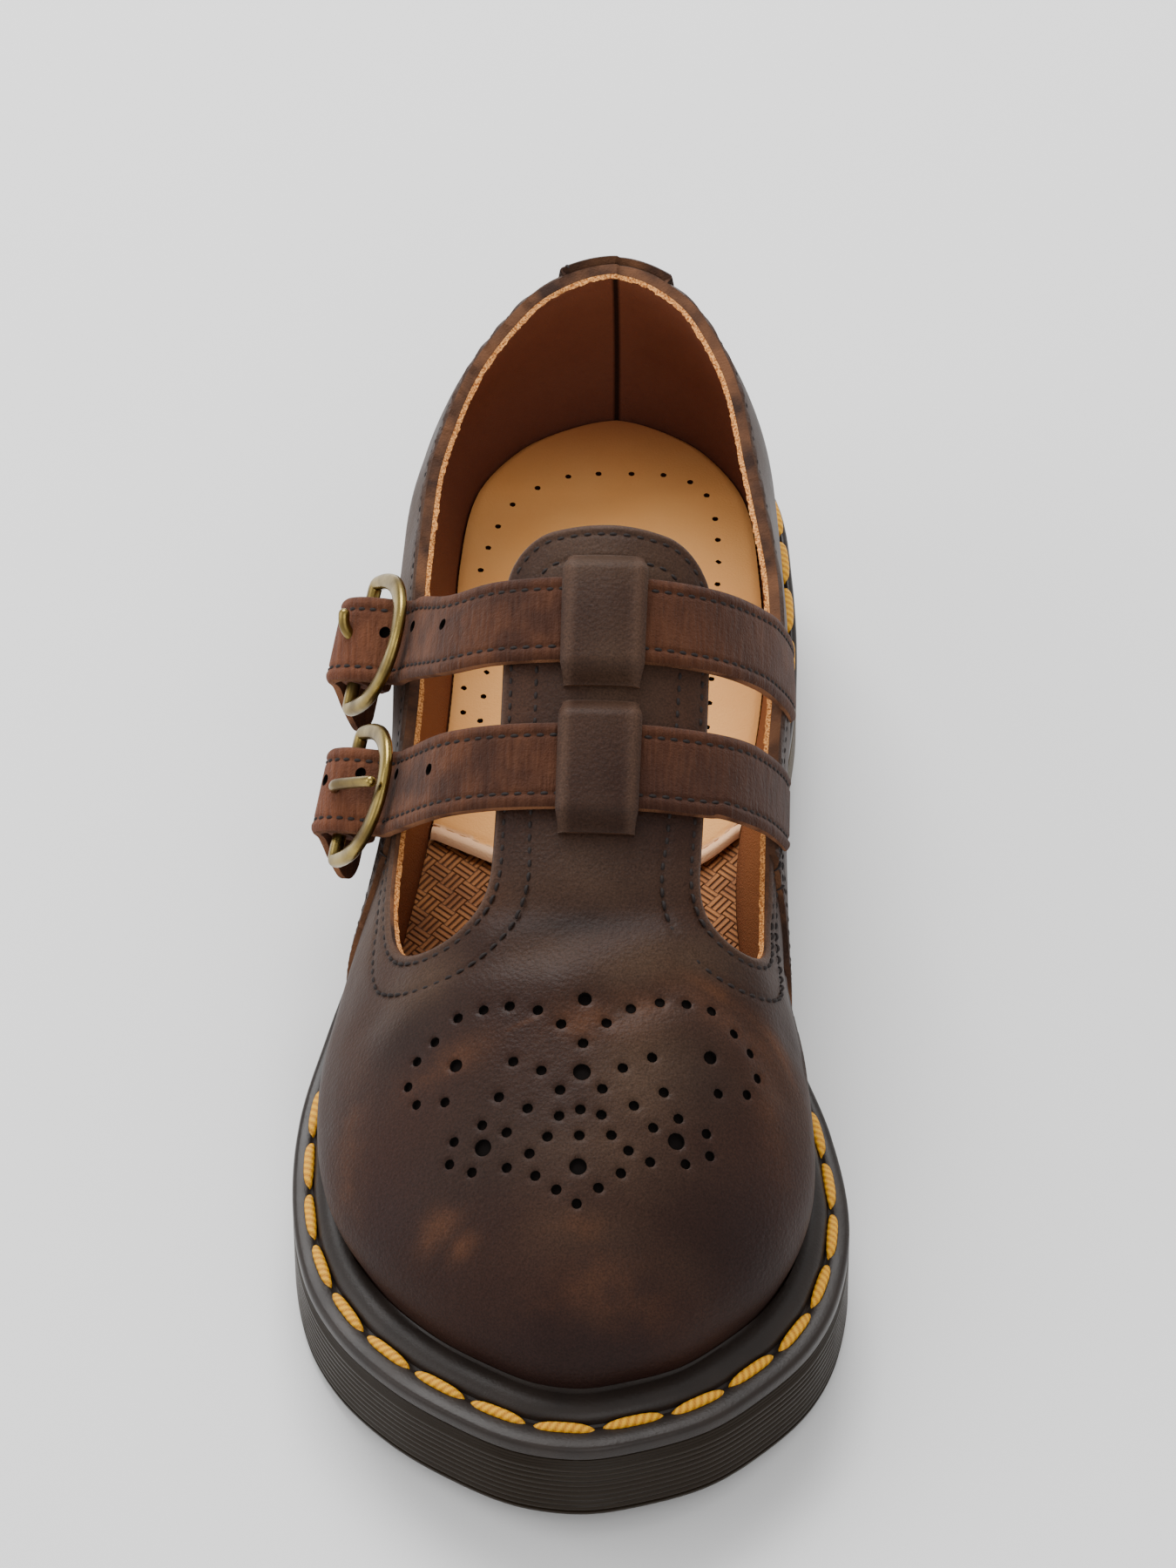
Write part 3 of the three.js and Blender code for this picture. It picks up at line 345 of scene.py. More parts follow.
def hide_of(material, grain_scale):
    """The hide's pattern in a material."""
    node = material.node_tree.nodes.new("ShaderNodeGroup")
    node.node_tree = hide
    node.inputs["Grain Scale"].default_value = grain_scale
    return node.outputs


def bump_of(material, heights, distance):
    """Bumps from weighted heights, up to a distance in metres."""
    total = None
    for height, weight in heights:
        part = material.node_tree.nodes.new("ShaderNodeMath")
        part.operation = "MULTIPLY"
        material.node_tree.links.new(height, part.inputs[0])
        part.inputs[1].default_value = weight
        if total is None:
            total = part.outputs[0]
            continue
        sum_node = material.node_tree.nodes.new("ShaderNodeMath")
        material.node_tree.links.new(total, sum_node.inputs[0])
        material.node_tree.links.new(part.outputs[0], sum_node.inputs[1])
        total = sum_node.outputs[0]
    bump = node_of(material, "ShaderNodeBump", Strength=1.0, Distance=distance)
    material.node_tree.links.new(total, bump.inputs["Height"])
    plug(material, bump.outputs["Normal"], "Normal")


def value_of(material, name):
    """A value that is stored on the mesh's points."""
    node = material.node_tree.nodes.new("ShaderNodeAttribute")
    node.attribute_name = name
    return node.outputs["Fac"]


def store_value(piece, name, values):
    """Keeps a value for each point of a piece."""
    attribute = piece.data.attributes.new(name, "FLOAT", "POINT")
    attribute.data.foreach_set("value", np.asarray(values, np.float32))


rib_count = 9
rib_depth = 0.6
side_rows = 84
stations = 360
w_ring = np.linspace(0, 2, 2 * stations, endpoint=False)
down = np.linspace(0, 1, side_rows)
rib_run = np.clip((down - 0.13) / 0.75, 0, 1)
ribs = rib_depth * (1 - np.abs(np.sin(np.pi * rib_count * rib_run))) ** 1.6
ribs = ribs * (rib_run > 0) * (rib_run < 1)
folds = 0.45 * (bell(down, 0.045, 0.012) + bell(down, 0.095, 0.012))
foot_round = 2.0 * np.clip((down - 0.9) / 0.1, 0, 1) ** 2.5
side_inset = ribs + folds + foot_round + 0.4 * np.exp(-down / 0.01)
points = []
edge_along = along_of(outline_at(w_ring)[:, 1])
for inset, share in zip(side_inset, down):
    xy = inset_at(w_ring, np.full(len(w_ring), inset))
    z = sole_top(edge_along) + (sole_bottom(edge_along) - sole_top(edge_along)) * share
    points.append(np.column_stack([xy, z]))
columns = len(w_ring)
faces = [ring_faces(side_rows, columns)]
groove_alongs = [*np.linspace(0.60, 0.86, 7), *np.linspace(0.05, 0.20, 4)]
groove_places = [y_of(along) for along in groove_alongs]
fine_places = [(a + b) / 2 for a, b in zip(groove_places, groove_places[1:]) if abs(a - b) < 20]
bottom_columns = 40
across = np.linspace(0, 1, bottom_columns + 1)
u_half = np.linspace(0, 1, stations + 1)
bottom_outer = inset_at(u_half, np.full(stations + 1, side_inset[-1]))
bottom_inner = inset_at(2 - u_half, np.full(stations + 1, side_inset[-1]))
grid = bottom_outer[:, None] + (bottom_inner - bottom_outer)[:, None] * across[None, :, None]
half_span = np.linalg.norm(bottom_inner - bottom_outer, axis=-1)[:, None] / 2
from_edge = half_span * (1 - np.abs(2 * across - 1))[None, :]
bottom_z = sole_bottom(along_of(grid[..., 1]))
inside = np.clip((from_edge - 7.5) / 1.2, 0, 1)
for groove_list, depth, half_width in ((groove_places, 2.0, 2.6), (fine_places, 0.9, 1.4)):
    for groove_y in groove_list:
        bottom_z = bottom_z + depth * inside * np.clip(half_width - np.abs(grid[..., 1] - groove_y), 0, 1)
start = len(points) * columns
points = np.concatenate([*points, np.dstack([grid, bottom_z]).reshape(-1, 3)])
i, j = np.meshgrid(np.arange(stations), np.arange(bottom_columns), indexing="ij")
a = start + i * (bottom_columns + 1) + j
b = a + bottom_columns + 1
faces.append(np.stack([a, b, b + 1, a + 1], -1).reshape(-1, 4))
i = np.arange(stations)
faces.append(np.stack([i, (i + 1), (columns - i - 1) % columns, (columns - i) % columns], -1)[1:-1])
outsole = make_piece("outsole_ribbed", points, np.concatenate(faces))
face_outwards(outsole, 0.02)
finish_smooth(outsole, 50)

sole_rubber = plain_material("sole_rubber", (0.03, 0.02, 0.01), 0.3, Specular_IOR_Level=0.15)
pattern = hide_of(sole_rubber, 500)
toward_heel = band_of(sole_rubber, place_of(sole_rubber)[1]["Y"], -0.19, -0.06)
amber = mix_colors(sole_rubber, pattern["Mottle"], (0.070, 0.042, 0.013), (0.042, 0.028, 0.011))
plug(sole_rubber, mix_colors(sole_rubber, toward_heel, (0.018, 0.012, 0.007), amber), "Base Color")
plug(sole_rubber, math_of(sole_rubber, "MULTIPLY_ADD", pattern["Blotch"], 0.3, 0.2), "Roughness")
bump_of(sole_rubber, [(pattern["Speck"], 1.0)], 0.00003)
outsole.data.materials.append(sole_rubber)
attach(outsole, "root")
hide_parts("outsole")


# Welt: a near-black leather strip on the sole's edge, flat outside, with a raised bead against the
# upper, sewn down with plump golden-yellow stitches that lie in a groove at the bead's foot.
welt_width = 12.5
bead_width = 5.6
bead_rise = 3
welt_share = {
    "along": [0.00, 0.30, 0.50, 0.60, 0.70, 0.80, 0.88, 1.00],
    "outer": [0.32, 0.34, 0.42, 0.53, 0.62, 0.70, 0.86, 1.00],
    "inner": [0.32, 0.30, 0.30, 0.36, 0.58, 0.70, 0.86, 1.00],
}


def by_side(rows, outer_side, along):
    """Values along the shoe that differ between its two sides."""
    outer, inner = (smooth(rows["along"], rows[side], along) for side in ("outer", "inner"))
    return np.where(outer_side, outer, inner)


def welt_inset(w):
    return welt_width * by_side(welt_share, np.mod(w, 2) <= 1, along_of(outline_at(w)[..., 1]))


def bead_at(w):
    return np.minimum(bead_width, welt_inset(w) * 0.5)


bead_turn = np.linspace(0, math.pi / 2, 12)
edge_profile = [(0.25, -welt_thickness), (0, -welt_thickness + 0.4), (0, -0.9), (0.25, -0.3), (0.9, 0)]
bead_profile = [(1.34, 0), (1.26, -0.15), (1.18, -0.55), (1.08, -0.65), (1.0, -0.3)]
bead_profile += [(math.cos(t) ** 0.9, bead_rise * math.sin(t) ** 0.9) for t in bead_turn[1:-1]]
bead_profile += [(0.06, bead_rise), (0, bead_rise - 0.5), (0, -welt_thickness)]
w_welt = np.linspace(0, 2, 720, endpoint=False)
edge_along = along_of(outline_at(w_welt)[:, 1])
points = []
for inset, rise in edge_profile:
    xy = inset_at(w_welt, np.full(len(w_welt), inset))
    points.append(np.column_stack([xy, welt_top(edge_along) + rise]))
for share, rise in bead_profile:
    xy = inset_at(w_welt, np.maximum(welt_inset(w_welt) - bead_at(w_welt) * share, 0))
    own_along = along_of(xy[:, 1]) if share > 0 else edge_along
    points.append(np.column_stack([xy, welt_top(own_along) + rise]))
welt = make_piece("welt_strip", np.concatenate(points), ring_faces(len(points), len(w_welt), True))
face_outwards(welt)
finish_smooth(welt, 45)
welt_leather = plain_material("welt_leather", (0.016, 0.011, 0.009), 0.42, Specular_IOR_Level=0.25)
pattern = hide_of(welt_leather, 1400)
black = mix_colors(welt_leather, pattern["Blotch"], (0.012, 0.009, 0.008), (0.026, 0.018, 0.014))
plug(welt_leather, black, "Base Color")
plug(welt_leather, math_of(welt_leather, "MULTIPLY_ADD", pattern["Mottle"], 0.5, 0.15), "Roughness")
bump_of(welt_leather, [(pattern["Grain"], 0.5), (pattern["Speck"], 0.6)], 0.00006)
welt.data.materials.append(welt_leather)
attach(welt, "root")
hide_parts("welt")


# Upper: waxed brown leather, cut in one with the T-bar, drawn over the last and turned under at the
# welt. The quarters lie over the vamp with a raw edge, the toe is punched in a half-round pattern,
# and the collar, the cut-outs and the T-bar are left with cut edges and rows of dark stitches.
instep_height = 100
collar_height = 77
upper_wall = 2.2
leather_wall = 1.2
quarter_step = 1.2
t_bar_half = 19.6
t_bar_top = 0.386
t_bar_corner = 9
cut_out_front = 0.669
ridge_heel, ridge_toe = 0.2, 0.843
ridge_rows = {
    "along": [0.000, 0.172, 0.284, 0.384, 0.451, 0.507, 0.563, 0.619, 0.675, 0.731, 0.787, 0.843,
              0.918, 1.000],
    "height": [1.140, 1.120, 1.070, 0.995, 0.940, 0.880, 0.820, 0.760, 0.710, 0.670, 0.630, 0.590,
               0.530, 0.465],
    "side": [0, 1, 2, 2.4, 2.5, 2.5, 2.4, 2, 1.4, 0.8, 0.6, 0.4, 0.3, 0.3],
}
levels = [0, 0.18, 0.38, 0.58, 0.76, 0.9, 0.975, 1]
wall_rows = {
    "along": [0.00, 0.08, 0.17, 0.24, 0.32, 0.47, 0.62, 0.75, 0.86, 1.00],
    "outer": [
        [1, 1.03, 0.97, 0.84, 0.67, 0.48, 0.24, 0], [1, 1.05, 0.96, 0.80, 0.62, 0.44, 0.22, 0],
        [1, 1.12, 1.03, 0.86, 0.68, 0.48, 0.25, 0], [1, 1.18, 1.09, 0.92, 0.74, 0.53, 0.27, 0],
        [1, 1.20, 1.10, 0.93, 0.77, 0.55, 0.28, 0], [1, 1.08, 1.02, 0.91, 0.77, 0.55, 0.29, 0],
        [1, 1.08, 0.99, 0.84, 0.68, 0.49, 0.26, 0], [1, 1.07, 1.01, 0.88, 0.71, 0.50, 0.27, 0],
        [1, 1.04, 0.99, 0.87, 0.71, 0.50, 0.27, 0], [1, 1.02, 0.98, 0.88, 0.72, 0.50, 0.27, 0],
    ],
    "inner": [
        [1, 1.03, 0.97, 0.84, 0.67, 0.48, 0.24, 0], [1, 1.00, 0.90, 0.74, 0.58, 0.41, 0.20, 0],
        [1, 0.99, 0.89, 0.76, 0.60, 0.43, 0.22, 0], [1, 1.00, 0.93, 0.82, 0.66, 0.48, 0.24, 0],
        [1, 1.05, 1.02, 0.91, 0.75, 0.54, 0.27, 0], [1, 1.20, 1.20, 1.08, 0.89, 0.64, 0.33, 0],
        [1, 1.09, 1.09, 1.00, 0.85, 0.62, 0.33, 0], [1, 1.05, 1.03, 0.93, 0.78, 0.56, 0.30, 0],
        [1, 1.04, 1.00, 0.89, 0.73, 0.52, 0.28, 0], [1, 1.02, 0.98, 0.88, 0.72, 0.50, 0.27, 0],
    ],
}
collar_rows = {
    "along": [0.00, 0.06, 0.14, 0.22, 0.29, 0.37, 0.45, 0.52, 0.59, 0.66],
    "outer": [1.010, 0.990, 0.920, 0.840, 0.785, 0.745, 0.705, 0.675, 0.670, 0.700],
    "inner": [1.010, 0.980, 0.930, 0.870, 0.810, 0.765, 0.735, 0.720, 0.710, 0.720],
}
quarter_edge = {
    "outer": {"along": 0.519, "height": 50, "lean": 1.2},
    "inner": {"along": 0.545, "height": 55, "lean": 1.0},
}


def ridge_height(along):
    return instep_height * smooth(ridge_rows["along"], ridge_rows["height"], along)


def ridge_side(along):
    return smooth(ridge_rows["along"], ridge_rows["side"], along)


def station_at(u):
    """How far along the shoe the two sides' points at u lie, taken together."""
    return (along_of(outline_at(u)[..., 1]) + along_of(outline_at(2 - u)[..., 1])) / 2


def last_point(w, level):
    """Point of the last at w round the shoe; level runs from the welt (0) to the ridge (1)."""
    w = np.mod(np.asarray(w, float), 2)
    level = np.broadcast_to(np.asarray(level, float), w.shape)
    outer_side = w <= 1
    u = np.where(outer_side, w, 2 - w)
    foot = inset_at(w, welt_inset(w) + fit)
    foot_along = along_of(foot[..., 1])
    top = welt_top(foot_along) + bead_rise
    station = station_at(u)
    over = ridge_heel + (ridge_toe - ridge_heel) * station
    step_count = len(levels) - 1
    level_steps = np.append(np.arange(step_count + 1) / step_count, 1 + 1 / step_count)
    shares = []
    for k in range(step_count + 1):
        rows = {side: [row[k] for row in wall_rows[side]] for side in ("outer", "inner")}
        shares.append(by_side({"along": wall_rows["along"], **rows}, outer_side, station))
    shares.append(-shares[-2])
    above = np.clip(level, 0, None)
    out = smooth(level_steps, np.stack(shares, -1), above)
    rise = smooth(level_steps, levels + [levels[-2]], above)
    rx, ry = ridge_side(over), y_of(over)
    x = rx + (foot[..., 0] - rx) * out
    y = ry + (foot[..., 1] - ry) * out
    z = top + (ridge_height(along_of(y)) - top) * rise
    under = sole_top(foot_along) + fit
    below = level < 0
    x, y = np.where(below, foot[..., 0], x), np.where(below, foot[..., 1], y)
    z = np.where(below, top + (under - top) * -level, z)
    return np.stack([x, y, z], -1)


def lesser(a, b, round_size):
    h = np.maximum(round_size - np.abs(a - b), 0) / round_size
    return np.minimum(a, b) - h * h * round_size / 4


def open_at(p):
    """Positive where the upper is open: above the collar and beside the T-bar."""
    along = along_of(p[:, 1])
    above = p[:, 2] - collar_height * by_side(collar_rows, p[:, 0] < ridge_side(along), along)
    off = np.abs(p[:, 0] - ridge_side(along))
    corner_x = np.maximum(off - (t_bar_half - t_bar_corner), 0)
    corner_y = np.maximum(p[:, 1] - (y_of(t_bar_top) - t_bar_corner), 0)
    beside = np.where(corner_y > 0, np.hypot(corner_x, corner_y) - t_bar_corner, off - t_bar_half)
    return lesser(lesser(above, beside, 6), p[:, 1] - y_of(cut_out_front), 14)


def quarter_at(p):
    """Positive on the quarters, whose leather lies over the vamp."""
    along = along_of(p[:, 1])
    inner_side = p[:, 0] >= ridge_side(along)
    pick = lambda key: np.where(inner_side, quarter_edge["inner"][key], quarter_edge["outer"][key])
    behind = p[:, 1] - (y_of(pick("along")) + (p[:, 2] - pick("height")) * pick("lean"))
    off = np.maximum(np.abs(p[:, 0] - ridge_side(along)) - (t_bar_half + 2), p[:, 1] - y_of(0.3))
    over_welt = p[:, 2] - welt_top(along) - bead_rise - 1
    return np.minimum(np.minimum(behind, off), over_welt)


def last_sheet(station_count, level_count):
    """The last's surface as one open mesh of triangles, with shared points at the ridge."""
    rows = np.concatenate([[-1, -0.4], np.linspace(0, 1, level_count + 1)])
    ring = np.linspace(0, 2, 2 * station_count, endpoint=False)
    w, level = np.meshgrid(ring, rows, indexing="ij")
    points = last_point(w.ravel(), level.ravel())
    ids = np.arange(w.size).reshape(w.shape)
    ids[station_count + 1:, -1] = ids[1:station_count, -1][::-1]
    a, b = ids[:, :-1], np.roll(ids, -1, axis=0)[:, :-1]
    c, d = np.roll(ids, -1, axis=0)[:, 1:], ids[:, 1:]
    a, b, c, d = (q.ravel() for q in (a, b, c, d))
    length = lambda p, q: np.linalg.norm(points[p] - points[q], axis=1)
    even = length(a, c) <= length(b, d)
    one = np.where(even[:, None], np.stack([a, b, c], -1), np.stack([a, b, d], -1))
    two = np.where(even[:, None], np.stack([a, c, d], -1), np.stack([b, c, d], -1))
    faces = np.concatenate([one, two])
    real = (faces[:, 0] != faces[:, 1]) & (faces[:, 1] != faces[:, 2]) & (faces[:, 2] != faces[:, 0])
    faces = faces[real]
    normals = np.zeros_like(points)
    flat = np.cross(points[faces[:, 1]] - points[faces[:, 0]], points[faces[:, 2]] - points[faces[:, 0]])
    for k in range(3):
        np.add.at(normals, faces[:, k], flat)
    return {"points": points, "normals": unit(normals), "faces": faces}


def crossing_points(sheet, values, f, a, b):
    """Ids of new points where f is nought on the edges a to b, made once for each edge."""
    count = len(sheet["points"])
    keys, back = np.unique(np.minimum(a, b) * count + np.maximum(a, b), return_inverse=True)
    low, high = keys // count, keys % count
    low, high = np.where(values[low] < 0, low, high), np.where(values[low] < 0, high, low)
    t0, t1 = np.zeros(len(keys)), np.ones(len(keys))
    p, q = sheet["points"][low], sheet["points"][high]
    for _ in range(14):
        t = (t0 + t1) / 2
        past = f(p + (q - p) * t[:, None]) > 0
        t0, t1 = np.where(past, t0, t), np.where(past, t, t1)
    t = np.clip((t0 + t1) / 2, 0.02, 0.98)[:, None]
    sheet["points"] = np.concatenate([sheet["points"], p + (q - p) * t])
    mixed = sheet["normals"][low] * (1 - t) + sheet["normals"][high] * t
    sheet["normals"] = np.concatenate([sheet["normals"], unit(mixed)])
    return count + back.reshape(-1)


def crossed_faces(faces, values):
    """Faces where values change sign, turned to start at the lone corner, and the positive counts."""
    positive = values[faces] > 0
    count = positive.sum(1)
    mixed = (count == 1) | (count == 2)
    lone = np.where(count == 1, positive.argmax(1), (~positive).argmax(1))[mixed]
    return np.take_along_axis(faces[mixed], (lone[:, None] + np.arange(3)) % 3, 1), count, mixed


def split_faces(sheet, faces, f, least=0.03):
    """Cuts faces along the line where f is nought; returns those below and those above it."""
    values = f(sheet["points"])
    values = np.where(np.abs(values) < least, np.where(values < 0, -least, least), values)
    turned, count, mixed = crossed_faces(faces, values)
    a, b, c = turned.T
    made = crossing_points(sheet, values, f, np.concatenate([a, c]), np.concatenate([b, a]))
    ab, ca = made[:len(a)], made[len(a):]
    own = np.stack([a, ab, ca], -1)
    rest = np.concatenate([np.stack([ab, b, c], -1), np.stack([ab, c, ca], -1)])
    lone_up = count[mixed] == 1
    twice = np.concatenate([lone_up, lone_up])
    below = np.concatenate([faces[count == 0], own[~lone_up], rest[twice]])
    above = np.concatenate([faces[count == 3], own[lone_up], rest[~twice]])
    return below, above


def new_ids(used, size, start=0):
    """A table from old point numbers to new ones, -1 where a point isn't used."""
    index = np.full(size, -1)
    index[used] = np.arange(len(used)) + start
    return index


def edges_of(faces):
    return np.concatenate([faces[:, [0, 1]], faces[:, [1, 2]], faces[:, [2, 0]]])


def free_edges(faces, others=None):
    """Directed edges of faces with no partner among them, parted by whether others meet them."""
    edges = edges_of(faces)
    size = edges.max() + 1
    if others is not None and len(others):
        size = max(size, others.max() + 1)
    keys = edges[:, 0] * size + edges[:, 1]
    backs = edges[:, 1] * size + edges[:, 0]
    free = ~np.isin(keys, backs)
    if others is None or not len(others):
        return edges[free], edges[:0]
    theirs = edges_of(others)
    met = np.isin(backs[free], theirs[:, 0] * size + theirs[:, 1])
    return edges[free][~met], edges[free][met]


def nearest_distances(points, targets):
    tree = KDTree(len(targets))
    for k, p in enumerate(targets):
        tree.insert(p, k)
    tree.balance()
    return np.array([tree.find(p)[2] for p in points])


def trace_lines(sheet, faces, values):
    """Lines on the sheet where values pass nought, each as points with normals."""
    signed = np.where(np.abs(values) < 1e-4, 1e-4, values)
    a, b, c = crossed_faces(faces, signed)[0].T
    size = len(values)
    keys, back = np.unique(np.concatenate([np.minimum(a, b) * size + np.maximum(a, b),
                                           np.minimum(c, a) * size + np.maximum(c, a)]),
                           return_inverse=True)
    back = back.reshape(-1)
    low, high = keys // size, keys % size
    t = (signed[low] / (signed[low] - signed[high]))[:, None]
    points = sheet["points"][low] * (1 - t) + sheet["points"][high] * t
    normals = sheet["normals"][low] * (1 - t) + sheet["normals"][high] * t
    partners = {}
    for p, q in zip(back[:len(a)].tolist(), back[len(a):].tolist()):
        partners.setdefault(p, []).append(q)
        partners.setdefault(q, []).append(p)
    lines = []
    unused = set(partners)
    ends = [k for k, v in partners.items() if len(v) == 1]
    for first in ends + list(partners):
        if first not in unused:
            continue
        chain = [first]
        unused.discard(first)
        while True:
            ahead = [k for k in partners[chain[-1]] if k in unused]
            if not ahead:
                break
            chain.append(ahead[0])
            unused.discard(ahead[0])
        if len(partners[first]) == 2 and len(chain) > 2:
            chain.append(first)
        lines.append((points[chain], normals[chain]))
    return lines


def spaced_places(points, normals, pitch):
    """Evenly spaced places on a line: middle, direction and normal of each."""
    run = run_of(points)
    at = np.arange(0.5 * pitch, run[-1], pitch)
    read = lambda rows, s: np.stack([np.interp(s, run, rows[:, k]) for k in range(3)], -1)
    middle = read(points, at)
    ahead = read(points, at + 0.4 * pitch) - read(points, at - 0.4 * pitch)
    up = read(normals, at)
    good = (np.linalg.norm(ahead, axis=1) > 1e-6) & (np.linalg.norm(up, axis=1) > 1e-6)
    return middle[good], unit(ahead[good]), unit(up[good])


def copies_piece(name, places, shape, faces):
    """One mesh of a shape, given ahead, aside and up in millimetres, copied to each of many places."""
    middle, ahead, up = places
    side = np.cross(up, ahead)
    points = (middle[:, None] + shape[None, :, 0, None] * ahead[:, None]
              + shape[None, :, 1, None] * side[:, None] + shape[None, :, 2, None] * up[:, None])
    every = [[k + n * len(shape) for k in face] for n in range(len(middle)) for face in faces]
    return make_piece(name, points.reshape(-1, 3), every)


def stitch_piece(name, places, length, radius, sink, material):
    """One mesh of many stitches, each a short plump thread that dips into the leather at its ends."""
    rings, sides = 6, 6
    s = np.linspace(-1, 1, rings)
    angle = np.linspace(0, 2 * np.pi, sides, endpoint=False)
    thick = radius * np.sqrt(np.clip(1.05 - s**2 * 0.75, 0.05, 1))
    lift = -sink * np.abs(s) ** 3
    shape = np.array([[s[i] * length / 2, thick[i] * math.cos(t), lift[i] + thick[i] * 0.8 * math.sin(t)]
                      for i in range(rings) for t in angle])
    faces = ring_faces(rings, sides).tolist()
    for cap in (list(range(sides))[::-1], list(range((rings - 1) * sides, rings * sides))):
        faces += [cap[:4], [cap[0], *cap[3:]]]
    every_place = [np.concatenate([place[k] for place in places]) for k in range(3)]
    piece = copies_piece(name, every_place, shape, faces)
    finish_smooth(piece, 180)
    piece.data.materials.append(material)
    return piece


# The punched pattern is the same on both sides of a middle line that leans a little: out is the
# distance from that line, forward the distance to the toe from the first hole.
punch_radius = {"large": 1.65, "medium": 1.3, "small": 1.0}
punch_start = (1.0, -158.7)
punch_lean = 0.06
punch_zone = (-150, -206)
middle_holes = [(0, "medium"), (8.6, "small"), (14.3, "large"), (21.7, "small"), (26.8, "small"),
                (32.8, "large"), (39.5, "small")]
side_holes = {
    "tip": [(4.2, 4.6), (8.6, 1.5), (13.9, -0.2), (18.8, -0.5), (23.6, -0.4), (27.8, 2.6), (31.0, 4.9),
            (32.5, 9.1), (30.6, 13.3), (25.3, 15.2)],
    "inner": [(12.8, 10.9), (7.5, 13.4), (3.9, 17.6), (15.2, 17.3), (9.8, 20.5), (3.9, 22.7), (5.9, 26.5)],
    "diamond": [(18.1, 21.8), (13.5, 24.3), (23.2, 23.1), (24.0, 26.9), (19.7, 29.7), (13.2, 30.7),
                (9.1, 29.1)],
    "foot": [(7.9, 33.4), (3.9, 36.5)],
}
holes = [(0, forward, punch_radius[size]) for forward, size in middle_holes]
for sign in (-1, 1):
    holes += [(sign * out, forward, punch_radius["small"]) for group in side_holes.values()
              for out, forward in group]
    holes += [(sign * 23.5, 8.9, punch_radius["medium"]), (sign * 17.8, 26.0, punch_radius["large"])]
holes = np.array(holes)

sheet = last_sheet(380, 96)
kept, _ = split_faces(sheet, sheet["faces"], open_at)
hole_xy = np.column_stack([punch_start[0] + holes[:, 0],
                           punch_start[1] - holes[:, 1] + punch_lean * holes[:, 0]])
vamp_points = sheet["points"][sheet["points"][:, 2] > welt_top(0.9) + 6]
nearest = [np.argmin(((vamp_points[:, :2] - xy) ** 2).sum(1)) for xy in hole_xy]
hole_centres = vamp_points[nearest]
hole_centres[:, :2] = hole_xy


def hole_at(p):
    """Positive inside a punched hole."""
    value = np.full(len(p), -50.0)
    near = (p[:, 1] < punch_zone[0]) & (p[:, 1] > punch_zone[1])
    far = np.linalg.norm(p[near][:, None] - hole_centres[None], axis=-1)
    value[near] = (holes[None, :, 2] - far).max(1)
    return value


leather_faces, hole_faces = split_faces(sheet, kept, hole_at)
vamp_faces, quarter_faces = split_faces(sheet, leather_faces, quarter_at)
rim_edges, _ = free_edges(np.concatenate([vamp_faces, quarter_faces, hole_faces]))
rim_points = sheet["points"][np.unique(rim_edges)]
rim_floor = 40
rim_points = rim_points[rim_points[:, 2] > rim_floor]
_, step_edges = free_edges(quarter_faces, vamp_faces)
step_points = sheet["points"][np.unique(step_edges)]
edge_far = nearest_distances(sheet["points"], rim_points)
step_far = nearest_distances(sheet["points"], step_points)
on_quarter = np.zeros(len(sheet["points"]), bool)
on_quarter[np.unique(quarter_faces)] = True

first_row = 2.0
lip_width = 0.9
groove_depth = 0.28
groove_width = 0.5


def second_row(p):
    """How far the inner row of stitches lies from the edge: in front, beside and on the T-bar."""
    front, side, bar = 8.4, 4.6, 7.2
    x = p[:, 0] - ridge_side(along_of(p[:, 1]))
    over_t = np.clip((26 - np.abs(x)) / 8, 0, 1)
    behind = np.clip((p[:, 1] - y_of(cut_out_front)) / 18, 0, 1)
    return front + (over_t * bar + (1 - over_t) * side - front) * behind


row_places = second_row(sheet["points"])
t_bar_zone = (sheet["points"][:, 1] < y_of(0.35)) & (sheet["points"][:, 1] > y_of(0.76))
seams = [("edge", edge_far - first_row), ("inner", np.where(t_bar_zone, edge_far - row_places, 9.0)),
         ("step_one", np.where(on_quarter, step_far - 1.8, 9.0)),
         ("step_two", np.where(on_quarter, step_far - 4.0, 9.0))]

creases = [
    {"line": [(-14, -139), (2, -142), (20, -139)], "depth": -0.9, "width": 4.5},
    {"line": [(-4, -156), (6, -151), (18, -144)], "depth": 0.8, "width": 5.0},
    {"line": [(-22, -150), (-10, -149), (-4, -147)], "depth": -0.35, "width": 4.0},
    {"line": [(8, -160), (20, -153), (30, -156), (37, -165)], "depth": -0.45, "width": 3.2},
    {"line": [(10, -166), (20, -161), (29, -163)], "depth": 0.4, "width": 3.5},
    {"line": [(-34, -158), (-26, -153), (-14, -154)], "depth": 0.3, "width": 4.0},
    {"line": [(-38, -150), (-34, -138)], "depth": -0.4, "width": 4.0},
    {"line": [(40, -150), (38, -138), (36, -128)], "depth": -0.5, "width": 4.0},
]


